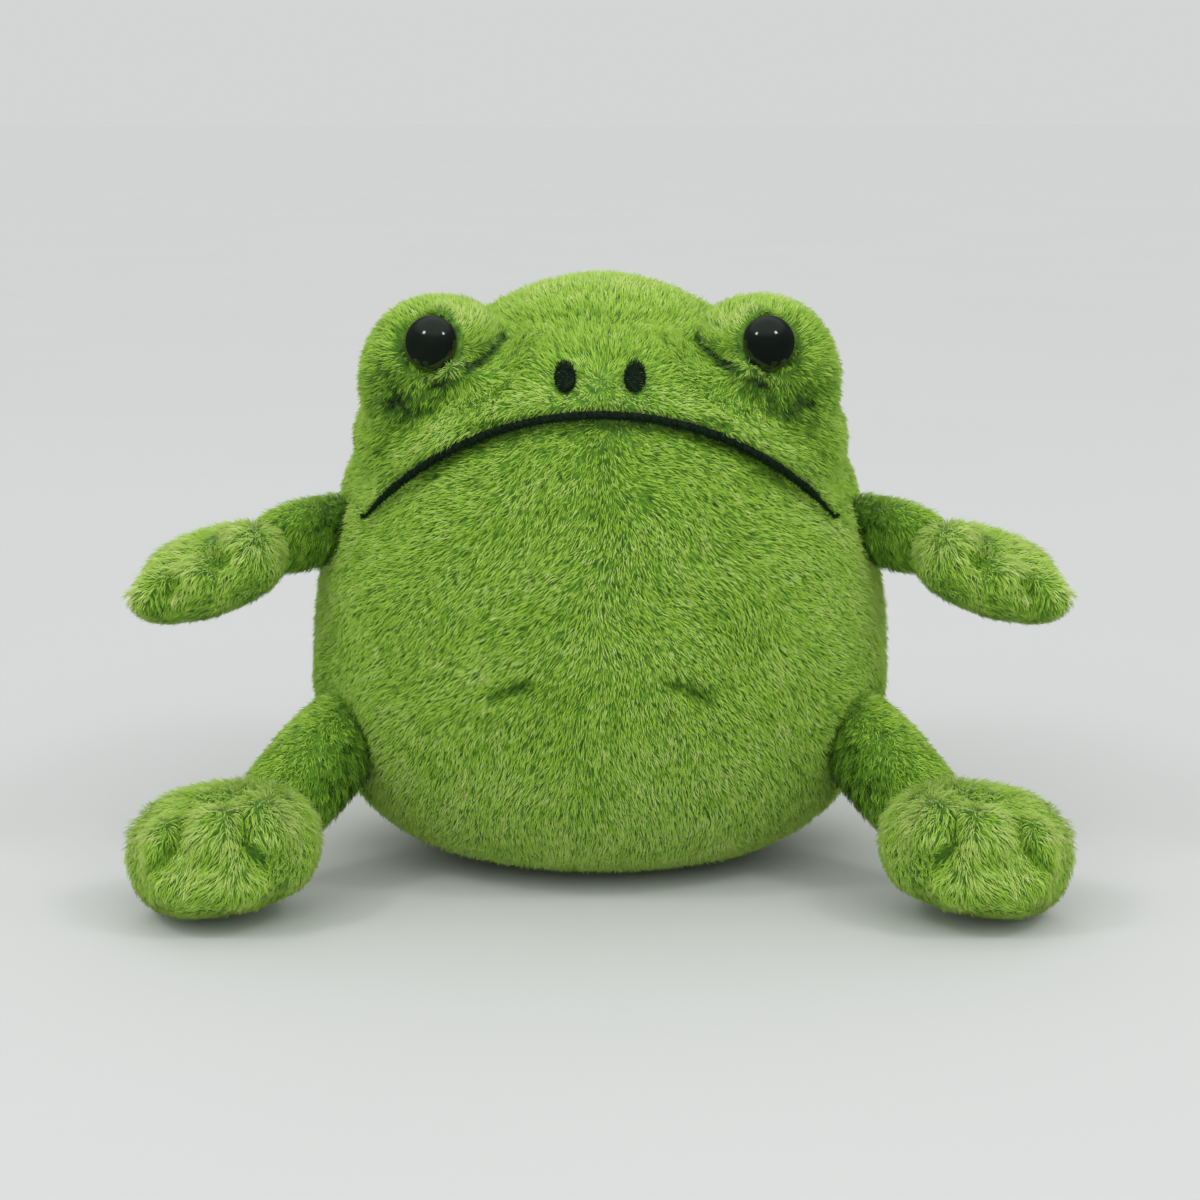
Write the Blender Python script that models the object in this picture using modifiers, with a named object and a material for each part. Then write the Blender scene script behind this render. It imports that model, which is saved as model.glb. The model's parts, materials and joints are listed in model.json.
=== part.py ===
"""Plush frog: a fat seated frog of fur fabric, as its sewn covers, their filling and its plastic eyes.

The frog sits on z = 0 with the middle of its seat at the origin, and it faces -Y. Its own left side is at +X.
The left limbs are modelled, and the right ones are their mirror images. Every length is in metres.
"""

import math

import bmesh
import bpy
from mathutils import Matrix, Vector
from mathutils.bvhtree import BVHTree

MM = 0.001

# Body and head in one egg: the seat is flat, the belly full and the back a hump.
BODY_HALF_WIDTH = 99.5 * MM
BODY_FRONT = 95 * MM
BODY_BACK = 95 * MM
BODY_HEIGHT = 201 * MM
BASE_CUT = 0.5 * MM

# Each ring of the egg's cage: height, half width, reach to the front and reach to the back, as shares.
BODY_RING_SHARES = (
    (0.000, 0.20, 0.20, 0.20),
    (0.000, 0.44, 0.42, 0.44),
    (0.030, 0.68, 0.66, 0.68),
    (0.110, 0.88, 0.87, 0.88),
    (0.250, 1.00, 1.00, 0.99),
    (0.400, 1.005, 1.03, 1.02),
    (0.560, 0.955, 1.01, 0.98),
    (0.690, 0.86, 0.97, 0.90),
    (0.810, 0.74, 0.88, 0.77),
    (0.920, 0.48, 0.54, 0.56),
    (1.000, 0.15, 0.12, 0.25),
)

# Fabric and sewing.
COVER_WALL = 4 * MM
SEWN_GAP = 0.3 * MM
TURNING_GAP = 0.9 * MM

# Snout: the lobe over the mouth, from cheek to cheek.
LIP_DROP = 38 * MM
SNOUT_DROP = 12 * MM
SNOUT_HEIGHT = 78 * MM
SNOUT_DEPTH = 112 * MM
LIP_OVERHANG = 6 * MM
CHEEK_BULGE = 1.5 * MM
CHEEK_RISE_SHARE = 0.46
SNOUT_SQUARENESS = 2.2

# Mouth: an arch that bends down to both corners, and the cord sewn along it.
MOUTH_ARC_RADIUS = 98 * MM
MOUTH_HALF_WIDTH = 76 * MM
PIPING_RADIUS = 1.5 * MM
PIPING_END_SHARE = 0.25

# Eye mounds and eyes.
MOUND_SPACING = 104 * MM
MOUND_HALF_WIDTH = 28 * MM
MOUND_HALF_DEPTH = 30 * MM
MOUND_HALF_HEIGHT = 30 * MM
MOUND_DROP = 4 * MM
MOUND_SETBACK = 55 * MM
MOUND_SQUARENESS = 2.1
EYE_PLACE_TURN = math.radians(4)
EYE_PLACE_LIFT = math.radians(30)
EYE_FACE_TURN = math.radians(28)
EYE_FACE_LIFT = math.radians(12)
EYE_RADIUS = 9 * MM
EYE_DOME = 8 * MM
EYE_RIM = 1.2 * MM
EYE_SINK = 2.5 * MM
SHANK_RADIUS = 2.4 * MM
SHANK_LENGTH = 11.5 * MM
RIDGE_HEIGHT = 0.5 * MM
RIDGE_COUNT = 3
WASHER_RADIUS = 7.5 * MM
WASHER_THICKNESS = 1.6 * MM
WASHER_DISH = 1.0 * MM
EYE_CLEARANCE = 0.3 * MM

# Nostrils: two embroidered ovals on the snout.
NOSTRIL_SPACING = 22 * MM
NOSTRIL_RISE = 8.5 * MM
NOSTRIL_HALF_WIDTH = 3.2 * MM
NOSTRIL_HALF_HEIGHT = 5.4 * MM
NOSTRIL_HALF_THICKNESS = 1.6 * MM
NOSTRIL_LEAN = math.radians(6)

# Arms: a short stuffed tube and a hand with three fingers.
SHOULDER_HEIGHT = 118.5 * MM
SHOULDER_TURN = math.radians(12)
ARM_RADIUS = 12.8 * MM
ARM_LENGTH = 28 * MM
ARM_FORWARD = math.radians(30)
ARM_DROOP = math.radians(18)
ARM_SWING = math.radians(25)
HAND_LENGTH = 58 * MM
HAND_WIDTH = 46 * MM
HAND_HEIGHT = 28 * MM
HAND_FORWARD = math.radians(32)
HAND_DROOP = math.radians(17)
WRIST_RADIUS = 11.2 * MM
WRIST_SWING = math.radians(20)

# Legs: a thick stuffed tube and a foot with three toes.
HIP_HEIGHT = 51 * MM
HIP_TURN = math.radians(24)
LEG_RADIUS = 17.5 * MM
LEG_OUT = 22.5 * MM
LEG_FORWARD = 33 * MM
LEG_SPLAY_IN = math.radians(10)
LEG_SPLAY_OUT = math.radians(18)
FOOT_LENGTH = 65 * MM
FOOT_WIDTH = 63 * MM
FOOT_HEIGHT = 44 * MM
FOOT_TURN = math.radians(56)
FOOT_ROLL = math.radians(11)
ANKLE_HEIGHT = 25 * MM
ANKLE_RADIUS = 16 * MM
ANKLE_TIP = math.radians(15)

# A limb's cage: place along its length and radius, as shares.
LIMB_RING_SHARES = (
    (0.00, 0.66),
    (0.16, 0.98),
    (0.80, 1.02),
    (1.00, 0.66),
)
ROOT_SINK_SHARE = 0.3
ROOT_BORE_SHARE = 0.5
ROOT_FILL_SHARE = 0.8

# A hand's or a foot's cage: height and reach, as shares, and how deep the creases between the toes cut there.
PAW_RING_SHARES = (
    (-0.50, 0.62, 0.04),
    (-0.22, 1.02, 0.22),
    (0.24, 0.98, 0.34),
    (0.50, 0.50, 0.18),
)
PAW_POINTS = 12
PAW_HEEL_SHARE = 0.80

# Pouch of plastic pellets that weighs down the seat.
POUCH_RADIUS = 46 * MM
POUCH_HEIGHT = 20 * MM
POUCH_SQUARENESS = 2.6

# How finely round things are cut.
EGG_POINTS = 12
LOBE_POINTS = 10
LOBE_RINGS = 5
MOUND_POINTS = 8
MOUND_RINGS = 4
LIMB_POINTS = 8
BALL_POINTS = 12
BORE_STEPS = 8
OVAL_POINTS = 12
TURNED_STEPS = 16
ROD_STEPS = 16
ARC_STEPS = 16
FAR = 400 * MM

FUR = ("fur", (0.20, 0.40, 0.045), 0.9)
FILLING = ("filling", (0.86, 0.86, 0.83), 1.0)
POUCH_CLOTH = ("pouch_cloth", (0.75, 0.73, 0.68), 0.9)
THREAD = ("thread", (0.012, 0.025, 0.022), 0.8)
EYE_PLASTIC = ("eye_plastic", (0.004, 0.004, 0.005), 0.08)
WASHER_PLASTIC = ("washer_plastic", (0.80, 0.80, 0.78), 0.4)


# Meshes and how they are combined

def clear_scene():
    """Removes every object of the scene."""
    for obj in list(bpy.data.objects):
        bpy.data.objects.remove(obj)


def helper(mesh):
    """A short-lived object for a mesh, so that a modifier can work on it."""
    obj = bpy.data.objects.new("helper", mesh)
    bpy.context.scene.collection.objects.link(obj)
    return obj


def evaluated(obj, others=()):
    """The object's mesh with its modifiers applied. The object and the others are removed."""
    bpy.context.view_layer.update()
    graph = bpy.context.evaluated_depsgraph_get()
    mesh = bpy.data.meshes.new_from_object(obj.evaluated_get(graph), depsgraph=graph)
    for spent in (obj, *others):
        bpy.data.objects.remove(spent)
    return mesh


def combined(first, second, operation):
    """The Boolean of two closed meshes."""
    target, other = helper(first), helper(second)
    modifier = target.modifiers.new("combine", "BOOLEAN")
    modifier.operation = operation
    modifier.object = other
    return evaluated(target, [other])


def minus(mesh, *cutters):
    """The mesh with each cutter taken away in turn."""
    for cutter in cutters:
        mesh = combined(mesh, cutter, "DIFFERENCE")
    return mesh


def plus(mesh, *others):
    """The mesh joined with each other one in turn."""
    for other in others:
        mesh = combined(mesh, other, "UNION")
    return mesh


def within(mesh, other):
    """What the two meshes share."""
    return combined(mesh, other, "INTERSECT")


def smoothed(mesh):
    """A coarse cage, rounded off by one level of subdivision."""
    cage = helper(mesh)
    modifier = cage.modifiers.new("round", "SUBSURF")
    modifier.levels = modifier.render_levels = 1
    return evaluated(cage)


def offset(mesh, distance):
    """A copy of a rounded mesh, grown by a distance, or shrunk if it is negative."""
    grown = mesh.copy()
    normals = [vertex.normal.copy() for vertex in mesh.vertices]
    for vertex, normal in zip(grown.vertices, normals):
        vertex.co += normal * distance
    return grown


def placed(mesh, matrix):
    """A copy of the mesh, moved by a matrix."""
    moved = mesh.copy()
    moved.transform(matrix)
    return moved


def mirrored(mesh):
    """The mesh's mirror image across x = 0."""
    image = placed(mesh, Matrix.Diagonal((-1, 1, 1, 1)))
    image.flip_normals()
    return image


def from_bmesh(bm):
    """A mesh from a bmesh, with its faces turned outwards."""
    bmesh.ops.recalc_face_normals(bm, faces=bm.faces)
    mesh = bpy.data.meshes.new("shape")
    bm.to_mesh(mesh)
    bm.free()
    return mesh


def triangulated(mesh):
    """The mesh with its bent faces split into triangles, so that a Boolean finds them flat."""
    bm = bmesh.new()
    bm.from_mesh(mesh)
    bmesh.ops.triangulate(bm, faces=bm.faces)
    return from_bmesh(bm)


# Shapes

def lofted(rings):
    """A closed cage through rings of points, with a face over each end."""
    bm = bmesh.new()
    loops = [[bm.verts.new(point) for point in ring] for ring in rings]
    count = len(loops[0])
    for low, high in zip(loops, loops[1:]):
        for i in range(count):
            j = (i + 1) % count
            bm.faces.new((low[i], low[j], high[j], high[i]))
    bm.faces.new(reversed(loops[0]))
    bm.faces.new(loops[-1])
    return from_bmesh(bm)


def fitted(mesh, low, high):
    """The mesh stretched so that it just fills the box from low to high."""
    points = [vertex.co for vertex in mesh.vertices]
    was_low = Vector(min(point[axis] for point in points) for axis in range(3))
    was_high = Vector(max(point[axis] for point in points) for axis in range(3))
    for vertex in mesh.vertices:
        for axis in range(3):
            share = (vertex.co[axis] - was_low[axis]) / (was_high[axis] - was_low[axis])
            vertex.co[axis] = low[axis] + share * (high[axis] - low[axis])
    mesh.update()
    return mesh


class Form:
    """A stuffed form: its rounded outside, and a plainer core whose corners lie on that outside."""

    def __init__(self, rings, low, high, matrix=Matrix()):
        cage = lofted(rings)
        self.outside = triangulated(placed(fitted(smoothed(cage), low, high), matrix))
        for corner, rounded in zip(cage.vertices, self.outside.vertices):
            corner.co = rounded.co
        self.core = triangulated(cage)

    def inset(self, distance):
        """The core, shrunk by a distance."""
        return offset(self.core, -distance)


def egg():
    """The frog's whole trunk: seat, belly, back and crown."""
    rings = []
    for height, width, front, back in BODY_RING_SHARES:
        ring = []
        for i in range(EGG_POINTS):
            angle = 2 * math.pi * i / EGG_POINTS
            reach = front * BODY_FRONT if math.cos(angle) > 0 else back * BODY_BACK
            x = math.sin(angle) * width * BODY_HALF_WIDTH
            ring.append((x, -math.cos(angle) * reach, height * BODY_HEIGHT))
        rings.append(ring)
    low = (-BODY_HALF_WIDTH, -BODY_FRONT, -BASE_CUT)
    high = (BODY_HALF_WIDTH, BODY_BACK, BODY_HEIGHT)
    return Form(rings, low, high)


def lobe(low, high, squareness, points=LOBE_POINTS, count=LOBE_RINGS, widest_share=0.5):
    """A rounded lobe that fills a box. Squareness 2 is an ellipsoid, and more makes it boxier."""
    rings = []
    for k in range(count):
        rise = math.pi * (k + 0.5) / count
        reach = math.sin(rise) ** (2 / squareness)
        climb = (1 - math.cos(rise)) / 2
        height = climb ** (math.log(widest_share) / math.log(0.5))
        ring = []
        for i in range(points):
            angle = 2 * math.pi * i / points
            x, y = math.sin(angle), -math.cos(angle)
            square_x = math.copysign(abs(x) ** (2 / squareness), x)
            square_y = math.copysign(abs(y) ** (2 / squareness), y)
            ring.append((reach * square_x, reach * square_y, height))
        rings.append(ring)
    return Form(rings, low, high)


def limb_tube(start, end, radius):
    """A stuffed tube from start to end that swells in the middle and is round at both ends."""
    length = (end - start).length
    rings = []
    for along, reach in LIMB_RING_SHARES:
        ring = []
        for i in range(LIMB_POINTS):
            angle = 2 * math.pi * i / LIMB_POINTS
            ring.append((math.cos(angle) * reach, math.sin(angle) * reach, along))
        rings.append(ring)
    low, high = (-radius, -radius, 0), (radius, radius, length)
    turn = (end - start).to_track_quat("Z", "Y").to_matrix().to_4x4()
    return Form(rings, low, high, Matrix.Translation(start) @ turn)


def paw(length, width, height, matrix):
    """A hand or foot, placed by a matrix. Its three toes point along its own +X, creased between them."""
    rings = []
    for rise, reach, crease in PAW_RING_SHARES:
        ring = []
        for i in range(PAW_POINTS):
            angle = 2 * math.pi * i / PAW_POINTS
            between_toes = i in (1, PAW_POINTS - 1)
            beside_toes = i in (3, PAW_POINTS - 3)
            dip = crease if between_toes else crease / 2 if beside_toes else 0
            x, y = math.cos(angle), math.sin(angle)
            x *= PAW_HEEL_SHARE if x < 0 else 1
            ring.append((x * reach * (1 - dip), y * reach * (1 - dip), rise))
        rings.append(ring)
    half = Vector((length / 2, width / 2, height / 2))
    return Form(rings, -half, half, matrix)


def ball(centre, radius, axis, points=BALL_POINTS):
    """A ball whose poles lie on an axis, for a limb's root and for the socket that it turns in."""
    bm = bmesh.new()
    bmesh.ops.create_uvsphere(bm, u_segments=points, v_segments=points // 2, radius=radius)
    turn = axis.to_track_quat("Z", "Y").to_matrix().to_4x4()
    return placed(from_bmesh(bm), Matrix.Translation(centre) @ turn)


def rod(start, direction, radius, length, steps=ROD_STEPS):
    """A round rod that runs from start along a direction."""
    bm = bmesh.new()
    bmesh.ops.create_cone(
        bm, cap_ends=True, segments=steps, radius1=radius, radius2=radius, depth=length
    )
    middle = start + direction * length / 2
    turn = direction.to_track_quat("Z", "Y").to_matrix().to_4x4()
    return placed(from_bmesh(bm), Matrix.Translation(middle) @ turn)


def block_behind(point, normal):
    """A large block whose front face passes through a point and faces along a normal."""
    bm = bmesh.new()
    bmesh.ops.create_cube(bm, size=FAR)
    turn = normal.to_track_quat("Z", "Y").to_matrix().to_4x4()
    return placed(from_bmesh(bm), Matrix.Translation(point - normal * FAR / 2) @ turn)


def floor_block(height=0):
    """Everything below a height."""
    return block_behind(Vector((0, 0, height)), Vector((0, 0, 1)))


def turned(profile, matrix):
    """A profile of (radius, height) points turned about its axis, then moved by a matrix."""
    mesh = bpy.data.meshes.new("profile")
    edges = [(i, i + 1) for i in range(len(profile) - 1)]
    mesh.from_pydata([(radius, 0, height) for radius, height in profile], edges, [])
    spun = helper(mesh)
    modifier = spun.modifiers.new("turn", "SCREW")
    modifier.steps = modifier.render_steps = TURNED_STEPS
    modifier.use_merge_vertices = True
    modifier.merge_threshold = SEWN_GAP / 10
    return placed(evaluated(spun), matrix)


def below_mouth(lift):
    """Everything under the mouth's arch and the shoulder line, raised by a lift."""
    corner = arch_height(MOUTH_HALF_WIDTH) + lift
    outline = [(-FAR, -FAR), (FAR, -FAR), (FAR, corner)]
    outline += [(x, arch_height(x) + lift) for x in mouth_places()]
    outline.append((-FAR, corner))
    bm = bmesh.new()
    face = bm.faces.new([bm.verts.new((x, -FAR, z)) for x, z in outline])
    moved = bmesh.ops.extrude_face_region(bm, geom=[face])["geom"]
    side = [part for part in moved if isinstance(part, bmesh.types.BMVert)]
    bmesh.ops.translate(bm, verts=side, vec=(0, 2 * FAR, 0))
    return from_bmesh(bm)


def mouth_places():
    """How far from the middle the mouth's arch bends, from the frog's left to its right."""
    return [MOUTH_HALF_WIDTH * (1 - 2 * k / ARC_STEPS) for k in range(ARC_STEPS + 1)]


def arch_height(x):
    """The height of the lip at a distance x from the middle."""
    top = BODY_HEIGHT - LIP_DROP
    return top - MOUTH_ARC_RADIUS + math.sqrt(MOUTH_ARC_RADIUS**2 - x**2)


def surface_at(mesh, start, direction):
    """Where a line from inside a mesh leaves it, and the surface's normal there."""
    points = [vertex.co for vertex in mesh.vertices]
    faces = [tuple(polygon.vertices) for polygon in mesh.polygons]
    tree = BVHTree.FromPolygons(points, faces)
    place, normal, _, _ = tree.ray_cast(start, direction)
    return place, normal


def heading(turn, lift):
    """A direction turned from straight ahead (-Y) towards +X, and lifted above the horizon."""
    level = math.cos(lift)
    return Vector((math.sin(turn) * level, -math.cos(turn) * level, math.sin(lift)))


# Objects

def material(finish):
    """The Principled material of a finish: its name, colour and roughness."""
    name, colour, roughness = finish
    made = bpy.data.materials.get(name)
    if made is None:
        made = bpy.data.materials.new(name)
        made.use_nodes = True
        shader = made.node_tree.nodes["Principled BSDF"]
        shader.inputs["Base Color"].default_value = (*colour, 1)
        shader.inputs["Roughness"].default_value = roughness
        made.diffuse_color = (*colour, 1)
    return made


def add_piece(name, mesh, finish, parent=None):
    """Adds a mesh to the frog as a named piece, with its origin on its parent's."""
    mesh = placed(mesh, parent.matrix_world.inverted() if parent else Matrix())
    mesh.name = name
    mesh.materials.clear()
    mesh.materials.append(material(finish))
    mesh.shade_smooth()
    mesh.set_sharp_from_angle(angle=math.radians(40))
    obj = bpy.data.objects.new(name, mesh)
    obj.parent = parent
    bpy.data.collections["plush_frog"].objects.link(obj)
    return obj


def add_pivot(name, place, parent=None):
    """Adds an empty on a joint's axis, which carries what turns there."""
    pivot = bpy.data.objects.new(name, None)
    pivot.empty_display_size = ARM_RADIUS
    bpy.data.collections["plush_frog"].objects.link(pivot)
    pivot.parent = parent
    pivot.location = place - parent.matrix_world.translation if parent else place
    bpy.context.view_layer.update()
    return pivot


# Limbs

def about(point, axis, angle):
    """The matrix that turns by an angle about an axis through a point."""
    return Matrix.Translation(point) @ Matrix.Rotation(angle, 4, axis) @ Matrix.Translation(-point)


class Root:
    """Where a limb is sewn on: a ball that turns in a socket of what carries it."""

    def __init__(self, place, normal, along, radius, axis, low, high):
        self.pivot = place - normal * radius * ROOT_SINK_SHARE
        self.place = place
        self.normal = normal
        self.along = along
        self.radius = radius
        self.axis = axis
        self.angles = (low, high)

    def socket(self, extra=0):
        """The hollow that the ball turns in."""
        return ball(self.pivot, self.radius + TURNING_GAP + extra, self.axis)

    def trimmed(self, shape, clearance):
        """The limb's shape, cut so that it stays clear of its carrier wherever it turns."""
        face = self.place + self.normal * clearance
        for angle in self.angles:
            turn = about(self.pivot, self.axis, -angle)
            shape = minus(shape, placed(block_behind(face, self.normal), turn))
        return shape

    def outside(self, form):
        """The limb's outside, with the ball at its root."""
        return plus(self.trimmed(form.outside, TURNING_GAP), ball(self.pivot, self.radius, self.axis))

    def inside(self, form, gap, back):
        """The limb's inside less a gap: its core, and the bore back through the root that it is filled by."""
        inset = COVER_WALL + gap
        core = self.trimmed(form.inset(inset), TURNING_GAP + inset)
        start = self.pivot - self.along * back
        width = self.radius * ROOT_BORE_SHARE
        ahead = math.sqrt(self.radius**2 - width**2) - gap
        return plus(core, rod(start, self.along, width - gap, back + ahead, BORE_STEPS))


def cover_and_filling(form, root, carried=None):
    """A limb's cover and filling, with the socket of what it carries."""
    cover = minus(root.outside(form), root.inside(form, 0, root.radius))
    filling = root.inside(form, SEWN_GAP, root.radius * ROOT_FILL_SHARE)
    if carried is not None:
        cover = minus(cover, carried.socket())
        filling = minus(filling, carried.socket())
    return cover, filling


def paw_matrix(pivot, ahead, reach):
    """Places a hand or foot so that its heel lies on a pivot and its toes point ahead."""
    across = Vector((0, 0, 1)).cross(ahead).normalized()
    up = ahead.cross(across)
    turn = Matrix((ahead, across, up)).transposed().to_4x4()
    return Matrix.Translation(pivot + ahead * reach) @ turn


def arm_parts(trunk):
    """The left arm and hand: their roots and meshes."""
    out = heading(math.pi / 2 - SHOULDER_TURN, 0)
    place, normal = surface_at(trunk.outside, Vector((0, 0, SHOULDER_HEIGHT)), out)
    along = heading(math.pi / 2 - ARM_FORWARD, -ARM_DROOP)
    shoulder = Root(place, normal, along, ARM_RADIUS, Vector((0, 1, 0)), -ARM_SWING, ARM_SWING)
    end = place + along * ARM_LENGTH
    tube = limb_tube(shoulder.pivot - along * ARM_RADIUS / 2, end, ARM_RADIUS)
    ahead = heading(math.pi / 2 - HAND_FORWARD, -HAND_DROOP)
    wrist = Root(end, along, ahead, WRIST_RADIUS, Vector((0, 0, 1)), -WRIST_SWING, WRIST_SWING)
    middle = HAND_LENGTH / 2 - WRIST_RADIUS / 2
    hand = paw(HAND_LENGTH, HAND_WIDTH, HAND_HEIGHT, paw_matrix(wrist.pivot, ahead, middle))
    return shoulder, wrist, cover_and_filling(tube, shoulder, wrist), cover_and_filling(hand, wrist)


def leg_parts(trunk):
    """The left leg and foot: their roots and meshes."""
    out = heading(math.pi / 2 - HIP_TURN, 0)
    place, normal = surface_at(trunk.outside, Vector((0, 0, HIP_HEIGHT)), out)
    end = Vector((place.x + LEG_OUT, place.y - LEG_FORWARD, ANKLE_HEIGHT))
    along = (end - place).normalized()
    hip = Root(place, normal, along, LEG_RADIUS, Vector((0, 0, 1)), -LEG_SPLAY_IN, LEG_SPLAY_OUT)
    tube = limb_tube(hip.pivot - along * LEG_RADIUS / 2, end, LEG_RADIUS)
    ahead = heading(math.pi / 2 - FOOT_TURN, 0)
    across = Vector((0, 0, 1)).cross(ahead)
    ankle = Root(end, along, ahead, ANKLE_RADIUS, -across, 0, ANKLE_TIP)
    middle = FOOT_LENGTH / 2 - ANKLE_RADIUS / 2
    place = paw_matrix(ankle.pivot, ahead, middle) @ Matrix.Rotation(-FOOT_ROLL, 4, "X")
    lowest = min(vertex.co.z for vertex in paw(FOOT_LENGTH, FOOT_WIDTH, FOOT_HEIGHT, place).outside.vertices)
    place.translation.z -= lowest + BASE_CUT
    cover, filling = cover_and_filling(paw(FOOT_LENGTH, FOOT_WIDTH, FOOT_HEIGHT, place), ankle)
    return hip, ankle, cover_and_filling(tube, hip, ankle), (minus(cover, floor_block()), filling)


def add_limb(side, names, roots, pieces):
    """Adds a limb of two bodies on one side: each one's cover and filling, on its pivot."""
    pivot = None
    for name, root, meshes in zip(names, roots, pieces):
        place = root.pivot.copy()
        if side == "right":
            place.x = -place.x
            meshes = [mirrored(mesh) for mesh in meshes]
        pivot = add_pivot(f"{name}_{side}_pivot", place, pivot)
        add_piece(f"{name}_cover_{side}", meshes[0], FUR, pivot)
        add_piece(f"{name}_filling_{side}", meshes[1], FILLING, pivot)


# Trunk and head

def snout_lobe(trunk):
    """The lobe over the mouth. It overhangs the belly in front and bulges at the cheeks."""
    lip = BODY_HEIGHT - LIP_DROP
    top = BODY_HEIGHT - SNOUT_DROP
    bottom = top - SNOUT_HEIGHT
    front, _ = surface_at(trunk.outside, Vector((0, 0, lip)), Vector((0, -1, 0)))
    middle = bottom + SNOUT_HEIGHT * CHEEK_RISE_SHARE
    cheek, _ = surface_at(trunk.outside, Vector((0, 0, middle)), Vector((1, 0, 0)))
    reach = cheek.x + CHEEK_BULGE
    low = (-reach, front.y - LIP_OVERHANG, bottom)
    high = (reach, front.y - LIP_OVERHANG + SNOUT_DEPTH, top)
    return lobe(low, high, SNOUT_SQUARENESS, widest_share=CHEEK_RISE_SHARE)


def trunk_pieces(trunk, sockets, pouch):
    """The body's cover and filling, under the mouth line."""
    below = below_mouth(0)
    cavity = minus(trunk.inset(COVER_WALL), floor_block(COVER_WALL))
    cover = minus(within(trunk.outside, below), floor_block(), cavity, *sockets)
    core = within(trunk.inset(COVER_WALL + SEWN_GAP), below)
    filling = minus(core, floor_block(COVER_WALL + SEWN_GAP), pouch, *sockets)
    return cover, filling


def head_pieces(trunk, snout, hollows):
    """The head's cover and filling, over the mouth line."""
    chin = below_mouth(COVER_WALL + SEWN_GAP)
    cavity = plus(trunk.inset(COVER_WALL), minus(snout.inset(COVER_WALL), chin))
    cover = minus(plus(trunk.outside, snout.outside), below_mouth(SEWN_GAP), cavity, *hollows)
    inset = COVER_WALL + SEWN_GAP
    chin = below_mouth(COVER_WALL + 2 * SEWN_GAP)
    core = plus(trunk.inset(inset), minus(snout.inset(inset), chin))
    return cover, minus(core, below_mouth(SEWN_GAP), *hollows)


def eye_profile():
    """Half the outline of a safety eye: dome, rim, flat back and ridged shank."""
    profile = []
    steps = TURNED_STEPS // 4
    for k in range(steps + 1):
        angle = math.pi / 2 * k / steps
        profile.append((EYE_RADIUS * math.sin(angle), EYE_DOME * math.cos(angle)))
    profile.append((EYE_RADIUS, -EYE_RIM))
    profile.append((SHANK_RADIUS, -EYE_RIM))
    pitch = SHANK_LENGTH / (RIDGE_COUNT + 1)
    for k in range(1, RIDGE_COUNT + 1):
        height = -EYE_RIM - pitch * k
        profile.append((SHANK_RADIUS, height + pitch / 4))
        profile.append((SHANK_RADIUS + RIDGE_HEIGHT, height))
        profile.append((SHANK_RADIUS, height - pitch / 4))
    profile.append((SHANK_RADIUS / 2, -EYE_RIM - SHANK_LENGTH))
    profile.append((0, -EYE_RIM - SHANK_LENGTH))
    return profile


def washer_profile():
    """The closed outline of the dished washer that locks an eye's shank."""
    bore = SHANK_RADIUS + RIDGE_HEIGHT + EYE_CLEARANCE
    return [
        (bore, -WASHER_DISH),
        (WASHER_RADIUS - WASHER_DISH, 0),
        (WASHER_RADIUS, 0),
        (WASHER_RADIUS, -WASHER_THICKNESS),
        (bore, -WASHER_THICKNESS - WASHER_DISH),
        (bore, -WASHER_DISH),
    ]


class EyeSeat:
    """Where the left eye sits on its mound, and the hollow behind it."""

    def __init__(self, head):
        front = min(vertex.co.y for vertex in head.vertices)
        rise = BODY_HEIGHT - MOUND_DROP - MOUND_HALF_HEIGHT
        centre = Vector((MOUND_SPACING / 2, front + MOUND_SETBACK, rise))
        half = Vector((MOUND_HALF_WIDTH, MOUND_HALF_DEPTH, MOUND_HALF_HEIGHT))
        self.mound = lobe(centre - half, centre + half, MOUND_SQUARENESS, MOUND_POINTS, MOUND_RINGS)
        self.facing = heading(EYE_FACE_TURN, EYE_FACE_LIFT)
        place, _ = surface_at(self.mound.outside, centre, heading(EYE_PLACE_TURN, EYE_PLACE_LIFT))
        self.place = place - self.facing * EYE_SINK
        self.under = self.place - self.facing * COVER_WALL

    def hollow(self):
        """The space of the eye's shank and of its washer."""
        radius = SHANK_RADIUS + RIDGE_HEIGHT + EYE_CLEARANCE
        shank = rod(self.place, -self.facing, radius, SHANK_LENGTH + EYE_CLEARANCE)
        depth = WASHER_THICKNESS + WASHER_DISH + 2 * SEWN_GAP
        return plus(shank, rod(self.under, -self.facing, WASHER_RADIUS + EYE_CLEARANCE, depth))

    def cover(self, head):
        """The mound's cover, with a padded seat for the eye."""
        pad = rod(self.under, self.facing, EYE_RADIUS + COVER_WALL, FAR)
        cavity = minus(self.mound.inset(COVER_WALL), pad)
        socket = rod(self.place, self.facing, EYE_RADIUS + EYE_CLEARANCE, FAR)
        return minus(self.mound.outside, cavity, socket, self.hollow(), head)

    def filling(self, head):
        """The mound's filling, round the washer."""
        start = self.under - self.facing * SEWN_GAP
        pad = rod(start, self.facing, EYE_RADIUS + COVER_WALL + SEWN_GAP, FAR)
        return minus(self.mound.inset(COVER_WALL + SEWN_GAP), pad, self.hollow(), head)

    def eye(self):
        """The safety eye."""
        turn = self.facing.to_track_quat("Z", "Y").to_matrix().to_4x4()
        rise = self.facing * (EYE_RIM + SEWN_GAP)
        return turned(eye_profile(), Matrix.Translation(self.place + rise) @ turn)

    def washer(self):
        """The washer that locks the eye, behind the cover."""
        turn = self.facing.to_track_quat("Z", "Y").to_matrix().to_4x4()
        return turned(washer_profile(), Matrix.Translation(self.under - self.facing * SEWN_GAP) @ turn)


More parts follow.
